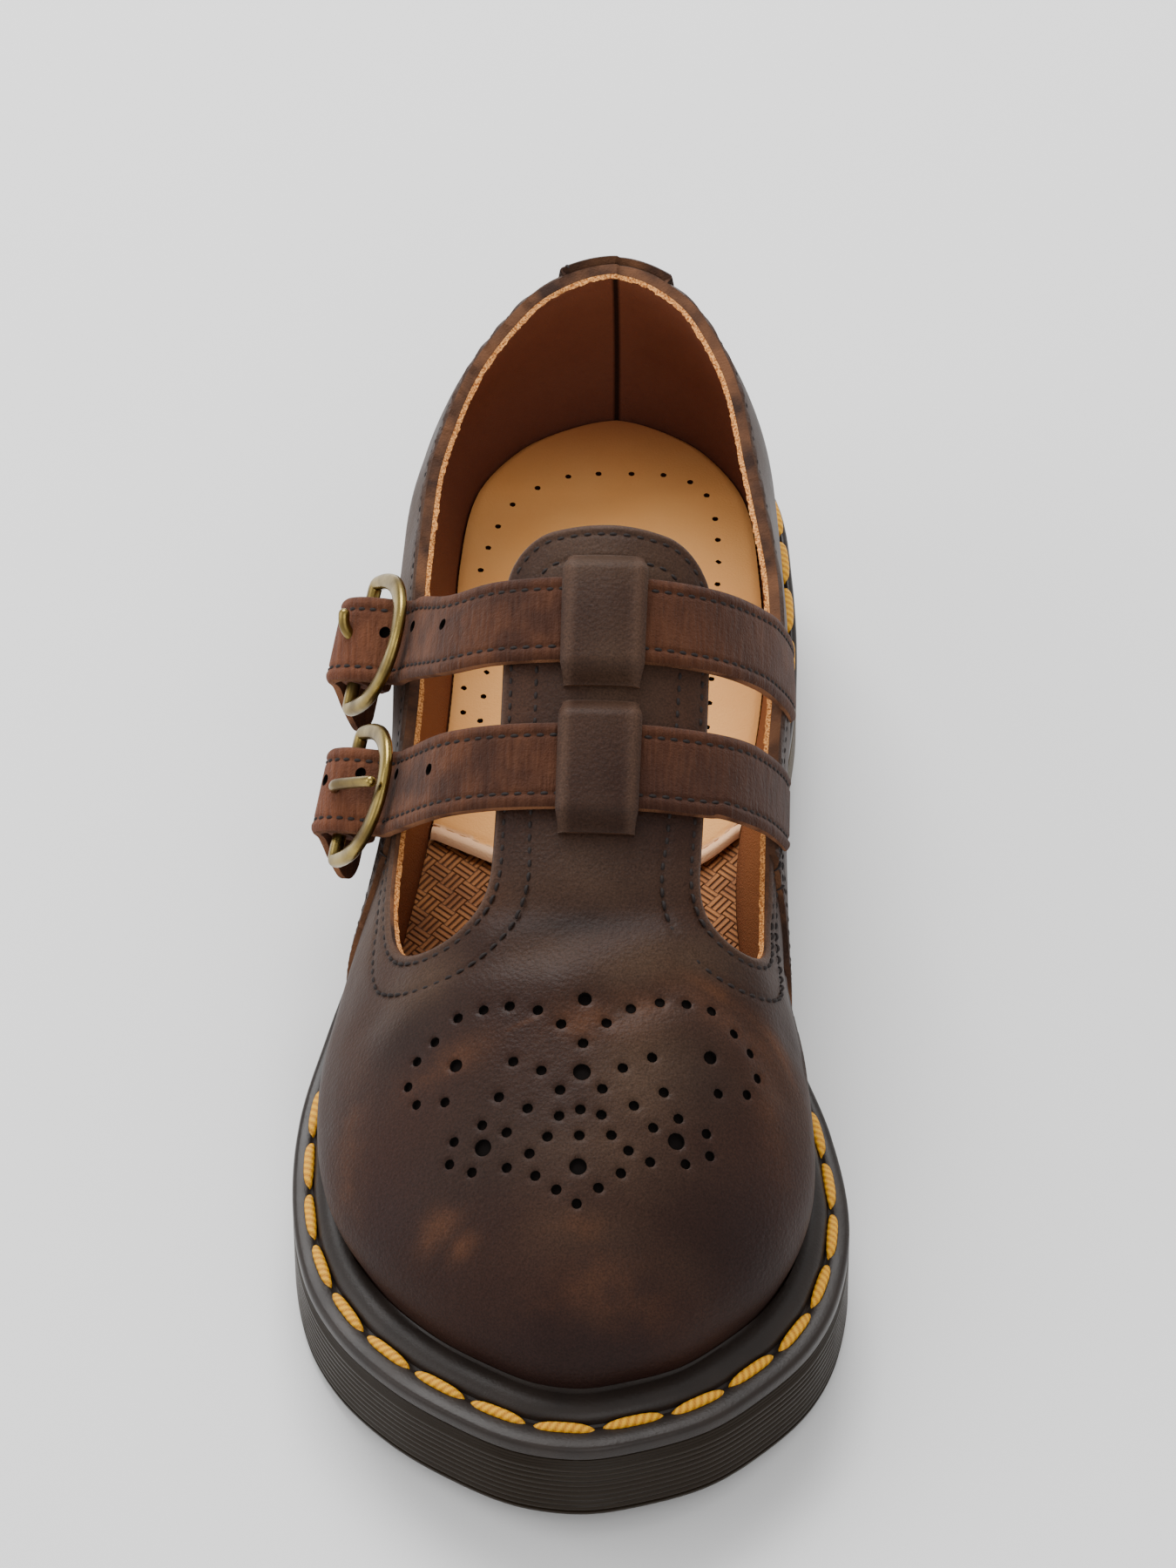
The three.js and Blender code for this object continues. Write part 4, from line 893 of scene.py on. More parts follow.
# Patches of colour, given one by one: middle, reach both ways, turn in degrees, and strength.
patches = {
    # Rub marks; the narrow upright streak down the outer side of the toe is a painted sheen.
    "rub_marks_and_sheen": [((-9.3, -162.7), (3.4, 0.55), 22, 1.0), ((3, -163), (9, 4.5), 10, 0.75),
               ((30, -154), (13, 1.6), -14, 0.8), ((37, -157), (5, 1.3), -48, 0.8),
               ((27, -157), (14, 3.5), -16, 0.45), ((-24, -168), (8, 3.5), 15, 0.6),
               ((-25, -197), (4.5, 3), 20, 0.8), ((-20, -201), (3, 2), 10, 0.8),
               ((2, -202), (6, 2.4), 0, 0.5), ((6, -210), (12, 5), 0, 0.6), ((36, -172), (3, 13), 10, 0.4),
               ((-42, -176), (3, 16), 0, 0.5),
               ((12, -159), (7, 3), 0, 0.55), ((-19, -137), (4, 5), 0, 0.4), ((20, -100), (4, 10), 0, 0.3),
               ((-14, -100), (4, 10), 0, 0.3), ((26, -134), (6, 3), 30, 0.5)],
    # Greyish-brown tone together with a painted highlight on the lit middle of the vamp and the quarters'
    # sides.
    "grey_tone_and_highlight": [((14, -150), (15, 4.5), 22, 1.0), ((13, -171), (10, 13), 12, 0.9),
             ((0, -133), (17, 8), 0, 0.55), ((8, -188), (22, 9), 0, 0.45), ((-30, -150), (8, 8), 0, 0.8),
             ((10, -203), (16, 6), 0, 0.4),
             ((0, -76), (20, 8), 0, 0.6), ((-8, -150), (10, 6), 0, 0.5), ((3, -96), (8, 12), 0, 0.35),
             ((-38, -120), (9, 16), 0, 0.5), ((-44, -40), (12, 30), 0, 0.7), ((44, -30), (12, 34), 0, 0.8)],
    # The toe's dark tone together with painted shade along the creases.
    "dark": [((-2, -143), (13, 3.0), 3, 1.0), ((-32, -159), (8, 7), 20, 0.7),
             ((-14, -186), (16, 12), 0, 0.7), ((24, -171), (8, 8), 0, 0.6), ((34, -196), (14, 12), 0, 0.8),
             ((0, -220), (44, 12), 0, 0.9),
             ((30, -146), (7, 5), 0, 0.5), ((40, -150), (4, 9), 0, 0.5), ((-44, -200), (12, 14), 0, 0.4)],
    "wine": [((0, -216), (46, 15), 0, 1.0), ((36, -192), (16, 22), 0, 0.9), ((-36, -186), (14, 24), 0, 0.7),
             ((14, -205), (16, 8), 0, 0.5), ((-12, -196), (16, 9), 0, 0.5), ((30, -162), (12, 7), 0, 0.4)],
}


def patch_strength(points, kind):
    """How strongly a kind of patch colours each point."""
    total = np.zeros(len(points))
    for (x, y), (a, b), turn, strength in patches[kind]:
        c, d = math.cos(math.radians(turn)), math.sin(math.radians(turn))
        u = (points[:, 0] - x) * c + (points[:, 1] - y) * d
        v = (points[:, 1] - y) * c - (points[:, 0] - x) * d
        total = np.maximum(total, strength * np.exp(-((u / a) ** 2 + (v / b) ** 2)))
    return total


def line_distance(xy, line):
    """Distance in plan from points to a given line."""
    best = np.full(len(xy), 1e9)
    for (x0, y0), (x1, y1) in zip(line, line[1:]):
        ax, ay = x1 - x0, y1 - y0
        t = np.clip(((xy[:, 0] - x0) * ax + (xy[:, 1] - y0) * ay) / (ax * ax + ay * ay), 0, 1)
        best = np.minimum(best, np.hypot(xy[:, 0] - x0 - t * ax, xy[:, 1] - y0 - t * ay))
    return best


relief = -0.40 * rounding(edge_far, lip_width)
relief += 0.22 * bell(edge_far, 1.05, 0.55)
relief -= 0.25 * np.where(on_quarter, rounding(step_far, 0.7), 0)
for _, off in seams:
    relief -= groove_depth * bell(off, 0, groove_width)
for crease in creases:
    far = line_distance(sheet["points"], crease["line"])
    relief += crease["depth"] * bell(far, 0, crease["width"]) * (sheet["points"][:, 2] > rim_floor)
hole_far = -hole_at(sheet["points"])
relief -= 0.3 * np.exp(-np.clip(hole_far, 0, None) / 0.35) * (hole_far > -0.2)

hole_depth = 1.1
depths = {"vamp": 0.0, "quarter": quarter_step, "hole": -hole_depth}
parts = {"vamp": vamp_faces, "quarter": quarter_faces, "hole": hole_faces}
points, faces, slots, offsets = [], [], [], {}
for name, part in parts.items():
    used = np.unique(part)
    offsets[name] = new_ids(used, len(sheet["points"]), sum(map(len, points)))
    lift = depths[name] + (relief[used] if name != "hole" else np.zeros(len(used)))
    points.append(sheet["points"][used] + sheet["normals"][used] * lift[:, None])
    faces.append(offsets[name][part])
    slots.append(np.full(len(part), 2 if name == "hole" else 0))


def wall(edges, top_index, bottom_points, slot):
    """A strip of quads from an edge of the sheet down to a second line of points."""
    used = np.unique(edges)
    index = new_ids(used, len(sheet["points"]), sum(map(len, points)))
    points.append(bottom_points[used])
    a, b = edges.T
    top_a, top_b = top_index[a], top_index[b]
    faces.append(np.stack([top_b, top_a, index[a]], -1))
    faces.append(np.stack([top_b, index[a], index[b]], -1))
    slots.append(np.full(2 * len(a), slot))


leather_under = sheet["points"] - sheet["normals"] * leather_wall
for name in ("vamp", "quarter"):
    others = np.concatenate([part for key, part in parts.items() if key != name])
    rim, _ = free_edges(parts[name], others)
    wall(rim, offsets[name], leather_under, 1)
_, step = free_edges(parts["quarter"], parts["vamp"])
wall(step, offsets["quarter"], sheet["points"] + sheet["normals"] * (relief[:, None] - 0.15), 1)
_, hole_rims = free_edges(np.concatenate([vamp_faces, quarter_faces]), hole_faces)
hole_floor = sheet["points"] - sheet["normals"] * hole_depth
wall(hole_rims, np.maximum(offsets["vamp"], offsets["quarter"]), hole_floor, 2)
leather_points = np.concatenate(points)
leather = make_piece("upper_leather_shell", leather_points, np.concatenate(faces))
for kind in patches:
    store_value(leather, kind, patch_strength(leather_points, kind))
lip_far = nearest_distances(leather_points, rim_points)
# A lighter band along the cut edges: edge wear together with a painted highlight on the rolled rim.
store_value(leather, "lip_wear_and_highlight", bell(lip_far, 0.6, 0.7))
leather.data.polygons.foreach_set("material_index", np.concatenate(slots).astype(np.int32))
finish_smooth(leather, 55)

upper_leather = plain_material("upper_leather", (0.04, 0.026, 0.020), 0.55, Specular_IOR_Level=0.12)
pattern = hide_of(upper_leather, 1300)
cloud = band_of(upper_leather, pattern["Mottle"], 0.35, 0.68)
patchy = band_of(upper_leather, pattern["Blotch"], 0.38, 0.62)
color = mix_colors(upper_leather, cloud, (0.027, 0.011, 0.007), (0.048, 0.022, 0.013))
layers = [("wine", 0.75, (0.030, 0.010, 0.008)),
          # Lightened with greyish-brown tone and a painted highlight.
          ("grey_tone_and_highlight", math_of(upper_leather, "MULTIPLY_ADD", cloud, 0.6, 0.35), (0.090, 0.053, 0.032)),
          # Darkened with the toe's dark tone and with painted shade in the creases.
          ("dark", 0.6, (0.014, 0.009, 0.008)),
          # Rub marks, and a painted sheen down the outer side of the toe.
          ("rub_marks_and_sheen", math_of(upper_leather, "MULTIPLY_ADD", patchy, 0.55, 0.16), (0.120, 0.046, 0.019)),
          # Lightened along the cut edges with edge wear and a painted highlight on the rim.
          ("lip_wear_and_highlight", 0.5, (0.105, 0.058, 0.038))]
for kind, strength, tint in layers:
    amount = math_of(upper_leather, "MULTIPLY", value_of(upper_leather, kind), strength)
    color = mix_colors(upper_leather, amount, color, tint)
shaded = mix_colors(upper_leather, 1.0, color, (0.45, 0.45, 0.45), "MULTIPLY")
color = mix_colors(upper_leather, band_of(upper_leather, pattern["Speck"], 0.3, 0.8), color, shaded)
plug(upper_leather, color, "Base Color")
plug(upper_leather, math_of(upper_leather, "MULTIPLY_ADD", cloud, 0.20, 0.44), "Roughness")
grain_heights = [(pattern["Grain"], 1.0), (pattern["Speck"], 0.7), (pattern["Blotch"], 1.2)]
bump_of(upper_leather, grain_heights, 0.00009)


def raw_edge(name, color, roughness, specular, part, low, high, dark, light, bump):
    """The cut edge of a leather, in two colours that change with a part of the hide's pattern."""
    material = plain_material(name, color, roughness, Specular_IOR_Level=specular)
    pattern = hide_of(material, 1500)
    color = mix_colors(material, band_of(material, pattern[part], low, high), dark, light)
    plug(material, color, "Base Color")
    bump_of(material, [(pattern["Speck"], 1.0)], bump)
    return material


cut_edge = raw_edge("cut_edge", (0.09, 0.045, 0.025), 0.85, 0.2, "Blotch", 0.35, 0.65,
                    (0.030, 0.014, 0.009), (0.13, 0.055, 0.025), 0.0002)
# The walls and floors of the punched holes are near black: painted shade inside the holes.
hole_painted_shade = plain_material("hole_painted_shade", (0.004, 0.0025, 0.002), 0.9, Specular_IOR_Level=0.1)
for material in (upper_leather, cut_edge, hole_painted_shade):
    leather.data.materials.append(material)
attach(leather, "root")
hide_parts("upper")

dark_thread = plain_material("dark_thread", (0.012, 0.007, 0.006), 0.75, Specular_IOR_Level=0.3)
rows = []
stitch_pitch = 2.6
all_leather = np.concatenate([vamp_faces, quarter_faces])
for name, off in seams:
    zone = quarter_faces if name.startswith("step") else all_leather
    for line_points, line_normals in trace_lines(sheet, zone, off):
        if len(line_points) < 12:
            continue
        lift = np.where(quarter_at(line_points) > 0, quarter_step, 0) - groove_depth * 0.6
        line_points = line_points + line_normals * lift[:, None]
        rows.append(spaced_places(line_points, line_normals, stitch_pitch))
upper_stitches = stitch_piece("upper_stitches", rows, 1.9, 0.36, 0.5, dark_thread)
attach(upper_stitches, "root")


# Lining: orange-tan suede inside the upper, whose cut edge shows as a bright fuzzy line along the
# collar and the outer edges of the cut-outs.
lining_sheet = last_sheet(220, 60)
lining_faces, _ = split_faces(lining_sheet, lining_sheet["faces"], open_at)
lining_rim, _ = free_edges(lining_faces)
lining_rim = lining_rim[(lining_sheet["points"][lining_rim][:, :, 2] > rim_floor).all(1)]
points, normals = lining_sheet["points"], lining_sheet["normals"]
lining_edge_far = nearest_distances(points, points[np.unique(lining_rim)])
fuzz = np.random.default_rng(4).normal(0, 0.09, len(points)) * (lining_edge_far < 0.5)
outer_skin = points - normals * (leather_wall + 0.03)
inner_skin = points - normals * (upper_wall + fuzz)[:, None]
used = np.unique(lining_faces)
index = new_ids(used, len(points))
a, b = lining_rim.T
size = len(used)
rim_faces = np.concatenate([np.stack([index[b] + size, index[a] + size, index[a]], -1),
                            np.stack([index[b] + size, index[a], index[b]], -1)])
lining = make_piece("lining_suede", np.concatenate([inner_skin[used], outer_skin[used]]),
                    np.concatenate([index[lining_faces][:, ::-1], rim_faces]))
lining.data.polygons.foreach_set("material_index", np.concatenate(
    [np.zeros(len(lining_faces)), np.ones(len(rim_faces))]).astype(np.int32))
finish_smooth(lining, 60)
lining_suede = plain_material("lining_suede", (0.42, 0.19, 0.065), 0.9, Specular_IOR_Level=0.1)
pattern = hide_of(lining_suede, 1800)
_, part_of_place = place_of(lining_suede)
rising = band_of(lining_suede, part_of_place["Z"], 0.028, 0.085)
toward_toe = band_of(lining_suede, part_of_place["Y"], 0.0, -0.06)
suede = mix_colors(lining_suede, pattern["Blotch"], (0.180, 0.062, 0.034), (0.230, 0.086, 0.044))
pale = mix_colors(lining_suede, pattern["Blotch"], (0.40, 0.150, 0.040), (0.48, 0.190, 0.055))
suede = mix_colors(lining_suede, toward_toe, suede, pale)
# Low inside the shoe the suede is darkened: painted shade.
low_down_shade = math_of(lining_suede, "SUBTRACT", 0.75, rising)
suede = mix_colors(lining_suede, low_down_shade, suede, (0.105, 0.034, 0.021))
beside_seam = node_of(lining_suede, "ShaderNodeMath")
beside_seam.operation = "ABSOLUTE"
lining_suede.node_tree.links.new(part_of_place["X"], beside_seam.inputs[0])
at_seam = math_of(lining_suede, "MULTIPLY", band_of(lining_suede, beside_seam.outputs[0], 0.0009, 0.0003),
                  band_of(lining_suede, part_of_place["Y"], 0.0, 0.002))
plug(lining_suede, mix_colors(lining_suede, at_seam, suede, (0.020, 0.008, 0.005)), "Base Color")
bump_of(lining_suede, [(pattern["Speck"], 1.0), (pattern["Blotch"], 0.5)], 0.00025)
lining_edge = raw_edge("lining_edge", (0.62, 0.24, 0.06), 0.9, 0.1, "Speck", 0.35, 0.65,
                       (0.28, 0.085, 0.02), (0.85, 0.40, 0.13), 0.0003)
lining.data.materials.append(lining_suede)
lining.data.materials.append(lining_edge)
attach(lining, "root")


# Insole board: brown fibre board embossed in a small basket weave, over the whole foot; only its
# front shows, through the cut-outs.
board_thickness = 2.5
sock_skew = 0.8


def inner_inset(w, clearance):
    return welt_inset(w) + fit + upper_wall + clearance


def foot_grid(front, rows, columns, clearance, bulge):
    """Points over the foot's plan from the heel to a station, bulging forward in the middle."""
    u = front * np.linspace(0, 1, rows + 1)
    outer = inset_at(u, inner_inset(u, clearance))
    inner = inset_at(2 - u, inner_inset(2 - u, clearance))
    across = np.linspace(0, 1, columns + 1)[None, :, None]
    grid = outer[:, None] + (inner - outer)[:, None] * across
    skew = 1 + sock_skew * (across - 0.5)
    push = 4 * across * (1 - across) * skew * bulge * (np.linspace(0, 1, rows + 1) ** 6)[:, None, None]
    return grid - push * np.array([0, 1])


def grid_sheet(grid):
    """An open mesh of triangles over rows and columns of points, with its normals."""
    rows, columns = grid.shape[:2]
    normals = unit(np.cross(np.gradient(grid, axis=0), np.gradient(grid, axis=1)).reshape(-1, 3))
    i, j = np.meshgrid(np.arange(rows - 1), np.arange(columns - 1), indexing="ij")
    a = (i * columns + j).ravel()
    b, c, d = a + columns, a + columns + 1, a + 1
    faces = np.concatenate([np.stack([a, b, c], -1), np.stack([a, c, d], -1)])
    return {"points": grid.reshape(-1, 3), "normals": normals, "faces": faces}


pit_depth = 1.2


def slab_piece(name, sheet, thickness, materials, pits=None):
    """A closed slab under a sheet, with small pits sunk into it where a function is positive."""
    solid, sunk = sheet["faces"], sheet["faces"][:0]
    if pits is not None:
        solid, sunk = split_faces(sheet, sheet["faces"], pits, 0.01)
    every = np.concatenate([solid, sunk])
    size = len(sheet["points"])
    thick = np.full(size, np.max(thickness), float)
    thick[:np.size(thickness)] = thickness
    top = sheet["points"]
    under = top - sheet["normals"] * thick[:, None]
    floor_points = top - sheet["normals"] * pit_depth
    (a, b), (c, d) = free_edges(every)[0].T, free_edges(solid, sunk)[1].T
    parts = [solid, every[:, ::-1] + size,
             np.stack([b, a, a + size], -1), np.stack([b, a + size, b + size], -1),
             sunk + 2 * size,
             np.stack([d, c, c + 2 * size], -1), np.stack([d, c + 2 * size, d + 2 * size], -1)]
    slots = np.repeat([0, 0, 1, 1, 2, 2, 2], [len(part) for part in parts])
    faces = np.concatenate(parts)
    used, faces = np.unique(faces, return_inverse=True)
    piece = make_piece(name, np.concatenate([top, under, floor_points])[used], faces.reshape(-1, 3))
    for material in materials:
        piece.data.materials.append(material)
    piece.data.polygons.foreach_set("material_index", np.minimum(slots, len(materials) - 1).astype(np.int32))
    finish_smooth(piece, 50)
    return piece


grid = foot_grid(0.995, 90, 40, 0.1, 0)
heights = sole_top(along_of(grid[..., 1])) + fit + board_thickness
board_sheet = grid_sheet(np.dstack([grid, heights]))
insole_board = plain_material("insole_board", (0.16, 0.075, 0.03), 0.7, Specular_IOR_Level=0.3)
link = insole_board.node_tree.links.new
weave_cell = 0.0036
weave_turn = math.radians(38)
strips_in_cell = 3
turned = node_of(insole_board, "ShaderNodeMapping", Rotation=(0, 0, weave_turn))
turned.inputs["Scale"].default_value = (1 / weave_cell, 1 / weave_cell, 1)
link(place_of(insole_board)[0], turned.inputs["Vector"])
split = node_of(insole_board, "ShaderNodeSeparateXYZ")
link(turned.outputs["Vector"], split.inputs[0])
checks = node_of(insole_board, "ShaderNodeTexChecker", Scale=1.0, Color1=(1, 1, 1, 1), Color2=(0, 0, 0, 1))
link(turned.outputs["Vector"], checks.inputs["Vector"])
strips = []
for key in ("X", "Y"):
    value = split.outputs[key]
    for operation in ("MULTIPLY", "SINE", "ABSOLUTE"):
        step = node_of(insole_board, "ShaderNodeMath")
        step.operation = operation
        link(value, step.inputs[0])
        if operation == "MULTIPLY":
            step.inputs[1].default_value = strips_in_cell * math.pi
        value = step.outputs[0]
    strips.append(value)
weave = mix_colors(insole_board, checks.outputs["Color"], *strips)
weave_value = node_of(insole_board, "ShaderNodeSeparateXYZ")
link(weave, weave_value.inputs[0])
weave_height = band_of(insole_board, weave_value.outputs["X"], 0.1, 0.8)
pattern = hide_of(insole_board, 1500)
patchy = band_of(insole_board, pattern["Blotch"], 0.35, 0.65)
tone = mix_colors(insole_board, patchy, (0.26, 0.090, 0.024), (0.46, 0.180, 0.050))
# The low parts of the weave are coloured dark: painted shade in the embossing.
plug(insole_board, mix_colors(insole_board, weave_height, (0.075, 0.026, 0.009), tone), "Base Color")
bump_of(insole_board, [(weave_height, 1.0), (pattern["Speck"], 0.2)], 0.00035)
board = slab_piece("insole_board_embossed", board_sheet, board_thickness, [insole_board])
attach(board, "root")
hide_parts("insole_board")


# Sock: a padded orange-tan leather sock from the heel to behind the ball, pricked with a ring and
# two rows of small holes, with a rolled and stitched front edge.
sock_thickness = 1.8
sock_front = 0.432
sock_bulge = 12.5
sock_seam = 3.4
pinhole_radius = 0.62
pinholes = [(-9.1, 12.8), (-3.1, 13.8), (3.5, 14.0), (9.9, 13.9), (15.3, 12.1), (18.7, 8.5), (20.6, 2.0),
            (21.3, -3.8), (-15.1, 9.4), (-19.9, 4.6), (-22.5, -1.6), (-24.2, -7.6)]
pinholes += [(-25.4 - 0.09 * k * (7 - k) - 0.2 * k, -13.8 - 6.1 * k) for k in range(8)]
pinholes += [(-22.0 - 0.35 * k, -21.9 - 6.1 * k) for k in range(8)]
pinholes += [(21.6 - 0.02 * k * k, -9.9 - 6.1 * k) for k in range(10)]
pinholes += [(17.2 - 0.1 * k, -13.0 - 6.1 * k) for k in range(9)]
pinholes = np.array(pinholes)

rows, columns = 190, 76
u_fine = np.linspace(0, 1, 400)
front_u = np.interp(sock_front, station_at(u_fine), u_fine)
grid = foot_grid(front_u, rows, columns, 0.4, sock_bulge)
sides = np.linalg.norm(grid - grid[:, :1], axis=-1)
from_side = np.minimum(sides, sides[:, -1:] - sides)
front_line = grid[-1]
from_front = np.abs(grid[..., 1] - np.interp(grid[..., 0], front_line[:, 0], front_line[:, 1]))
heights = sole_top(along_of(grid[..., 1])) + fit + board_thickness + sock_thickness + 0.1
heights = heights - 0.5 * rounding(from_side, 1.6) - 0.8 * rounding(from_front, 0.9)
heights = heights + 0.45 * bell(from_front, 1.4, 1.0) - 0.4 * bell(from_front, sock_seam, 0.5)
sock_sheet = grid_sheet(np.dstack([grid, heights]))


def pinhole_at(p):
    far = np.linalg.norm(p[:, None, :2] - pinholes[None], axis=-1)
    return pinhole_radius - far.min(1)


sock_leather = plain_material("sock_leather", (0.60, 0.26, 0.085), 0.75, Specular_IOR_Level=0.15)
pattern = hide_of(sock_leather, 1600)
shade = band_of(sock_leather, place_of(sock_leather)[1]["Y"], 0.008, 0.032)
cloud = band_of(sock_leather, pattern["Mottle"], 0.3, 0.7)
tan = mix_colors(sock_leather, cloud, (0.92, 0.420, 0.120), (0.98, 0.500, 0.170))
tan = mix_colors(sock_leather, value_of(sock_leather, "front_edge"), tan, (0.95, 0.58, 0.32))
plug(sock_leather, mix_colors(sock_leather, shade, tan, (0.30, 0.090, 0.035)), "Base Color")
bump_of(sock_leather, [(pattern["Speck"], 1.0), (pattern["Grain"], 0.3)], 0.0001)
sock_edge = plain_material("sock_edge", (0.30, 0.12, 0.045), 0.85, Specular_IOR_Level=0.1)
# The pinholes' walls and floors are near black: painted shade inside the holes.
pinhole_painted_shade = plain_material("pinhole_painted_shade", (0.03, 0.010, 0.005), 0.9, Specular_IOR_Level=0.1)
seam_points = np.column_stack([front_line[::4, 0], front_line[::4, 1] + sock_seam])
sock_height = sole_top(along_of(seam_points[:, 1])) + fit + board_thickness + sock_thickness
sock_row = np.column_stack([seam_points, sock_height - 0.2])
sock = slab_piece("sock_padded", sock_sheet, sock_thickness, [sock_leather, sock_edge, pinhole_painted_shade], pinhole_at)
sock_xy = np.array([v.co[:] for v in sock.data.vertices]) / mm
from_front = sock_xy[:, 1] - np.interp(sock_xy[:, 0], front_line[:, 0], front_line[:, 1])
store_value(sock, "front_edge", np.clip(1 - from_front / 6.5, 0, 1) > 0.45)
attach(sock, "root")
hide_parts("sock")

tan_thread = plain_material("tan_thread", (0.75, 0.42, 0.2), 0.7)
upright = np.tile([0, 0, 1.0], (len(sock_row), 1))
sock_stitches = stitch_piece("sock_stitches", [spaced_places(sock_row, upright, 2.8)],
                             2.1, 0.25, 0.25, tan_thread)
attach(sock_stitches, "root")


# Backstay: a thick strip of the same leather sewn over the heel seam, from the welt to the collar,
# with a rounded edge and a row of dark stitches near its sides and its top.
backstay_width = 28
backstay_thickness = 1.7
backstay_foot = 0.02
backstay_length = 48


def bisect(f, low, high, count):
    """Places between low and high where f changes sign, for many cases at once."""
    low, high = np.full(count, float(low)), np.full(count, float(high))
    rising = f(high) > f(low)
    for _ in range(18):
        middle = (low + high) / 2
        past = (f(middle) > 0) == rising
        low, high = np.where(past, low, middle), np.where(past, middle, high)
    return (low + high) / 2


def last_normal(w, level):
    level = np.minimum(level, 0.995)
    around = last_point(w + small_step, level) - last_point(w - small_step, level)
    up = last_point(w, np.minimum(level + small_step, 1)) - last_point(w, level - small_step)
    return unit(np.cross(around, up))


rows, columns = 90, 44
outer_length = run_of(half_outlines["outer"][0])[-1]
share = np.linspace(1, -1, columns + 1)
w_stay = share * backstay_width / 2 / outer_length
stay_top = bisect(lambda v: open_at(last_point(w_stay, v)), 0.2, 0.9, columns + 1)
rise = np.linspace(0, 1, rows + 1)
level = backstay_foot + (stay_top[None] - backstay_foot) * rise[:, None]
w_grid = np.broadcast_to(w_stay[None], level.shape)
normals = last_normal(w_grid, level)
edge = np.minimum((1 - np.abs(share))[None] * backstay_width / 2, (1 - rise)[:, None] * backstay_length)
relief_here = -0.5 * rounding(edge, 1.1) - 0.3 * bell(edge, 2.2, 0.5)
out = quarter_step + 0.1 + backstay_thickness + relief_here
grid = last_point(w_grid, level) + normals * out[..., None]
backstay = slab_piece("backstay_strip", grid_sheet(grid), backstay_thickness, [upper_leather, cut_edge])
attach(backstay, "root")
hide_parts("backstay")

rows = []
for row_share in (0.85, -0.85):
    column = int(round((1 - row_share) / 2 * columns))
    rows.append(spaced_places(grid[:, column], normals[:, column], stitch_pitch))
rows.append(spaced_places(grid[-5, 4:-4], normals[-5, 4:-4], stitch_pitch))
backstay_stitches = stitch_piece("backstay_stitches", rows, 1.9, 0.36, 0.5, dark_thread)
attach(backstay_stitches, "root")


# Straps: two bands of nappy reddish leather, sewn pared over the inner quarter, drawn across the
# vamp under the loops, up through the buckles, over the bars and down in short tails. They have
# rounded raw edges, a row of dark stitches along both, punch holes and creases at the buckles.
strap_width = 16.6
strap_thickness = 2
strap_lift = 0.6
strap_slope = math.radians(30)
strap_axis = np.array([0, math.cos(strap_slope), math.sin(strap_slope)])
straps = {
    "front": {"ridge_along": 0.561, "bar_height": 0.597, "bar_shift": 2.8, "stand_off": 8.9, "tail": 13,
              "holes": [(-30.5, -106.2, 71.7), (-37.3, -96.1, 59.3), (-51.4, -89.5, 50.2),
                        (-44.2, -92.4, 55.3)],
              "creases": [(58, 0.15), (71, 0.12)]},
    "rear": {"ridge_along": 0.459, "bar_height": 0.701, "bar_shift": 5.5, "stand_off": 9.3, "tail": 14,
             "holes": [(-29.1, -76.5, 80.3), (-35.5, -65.8, 68.5), (-41.0, -62.4, 63.1),
                       (-49.1, -56.5, 60.2)],
             "creases": [(62, 0.22), (65.5, 0.28), (69, 0.25), (73, 0.3), (76, 0.2)]},
}
strap_root = [0.66, 0.74, 0.84, 0.95]
strap_way = [(22.6, 0.1), (12, -0.25), (2, -0.35), (-8, -0.25), (-18, 0), (-26, 0.3)]
strap_end = [(19.5, -4.4), (13.2, -4.4), (7.8, 0.3), (4.2, 2.9), (-0.4, 3.6), (-3.8, 1.2)]
bar_lean = math.radians(10)
bar_axis = np.array([math.sin(bar_lean), math.cos(bar_lean) * math.cos(strap_slope),
                     math.cos(bar_lean) * math.sin(strap_slope)])
frame_tilt = math.radians(64)
strap_hole_radius = 1.15
pared_share = 0.5
pared_length = 26
strap_seam = 2.5


def band_points(sign, plane, axis, target, lift):
    """Points on the last where strap planes meet a distance across (axis 0) or a height (axis 2)."""
    sign, plane, target, lift = np.broadcast_arrays(sign, plane, target, lift)
    count = plane.size

    def place(level):
        past_plane = lambda v: last_point(np.where(sign < 0, v, 2 - v), level) @ strap_axis - plane
        u = bisect(past_plane, 0.02, 0.98, count)
        return np.where(sign < 0, u, 2 - u)

    if axis == 0:
        level = bisect(lambda v: sign * (last_point(place(v), v)[:, 0] - target), 0.35, 1, count)
    else:
        level = bisect(lambda v: last_point(place(v), v)[:, 2] - target, 0.02, 0.95, count)
    w = place(level)
    return last_point(w, level) + last_normal(w, level) * lift[:, None]


def curve_at(points, t):
    """A smooth curve through rows of points, read at places t from 0 to 1."""
    rows = np.concatenate([[2 * points[0] - points[1]], points, [2 * points[-1] - points[-2]]])
    place = np.clip(t, 0, 1) * (len(points) - 1)
    i = np.minimum(place.astype(int), len(points) - 2)
    f = (place - i).reshape((-1,) + (1,) * (points.ndim - 1))
    p0, p1, p2, p3 = (rows[i + k] for k in range(4))
    gap = lambda a, b: np.sqrt(np.maximum(np.linalg.norm(b - a, axis=-1, keepdims=True), 1e-4))
    d0, d1, d2 = gap(p0, p1), gap(p1, p2), gap(p2, p3)
    m1 = ((p1 - p0) / d0 - (p2 - p0) / (d0 + d1) + (p2 - p1) / d1) * d1
    m2 = ((p2 - p1) / d1 - (p3 - p1) / (d1 + d2) + (p3 - p2) / d2) * d1
    return p1 + m1 * f + (3 * (p2 - p1) - 2 * m1 - m2) * f**2 + (2 * (p1 - p2) + m1 + m2) * f**3


def in_buckle(axes, a, b, c):
    """A point in a buckle's own axes: along the bar, from bar to bow, and out from the foot."""
    return axes["origin"] + a * axes["along"] + b * axes["inward"] + c * axes["normal"]


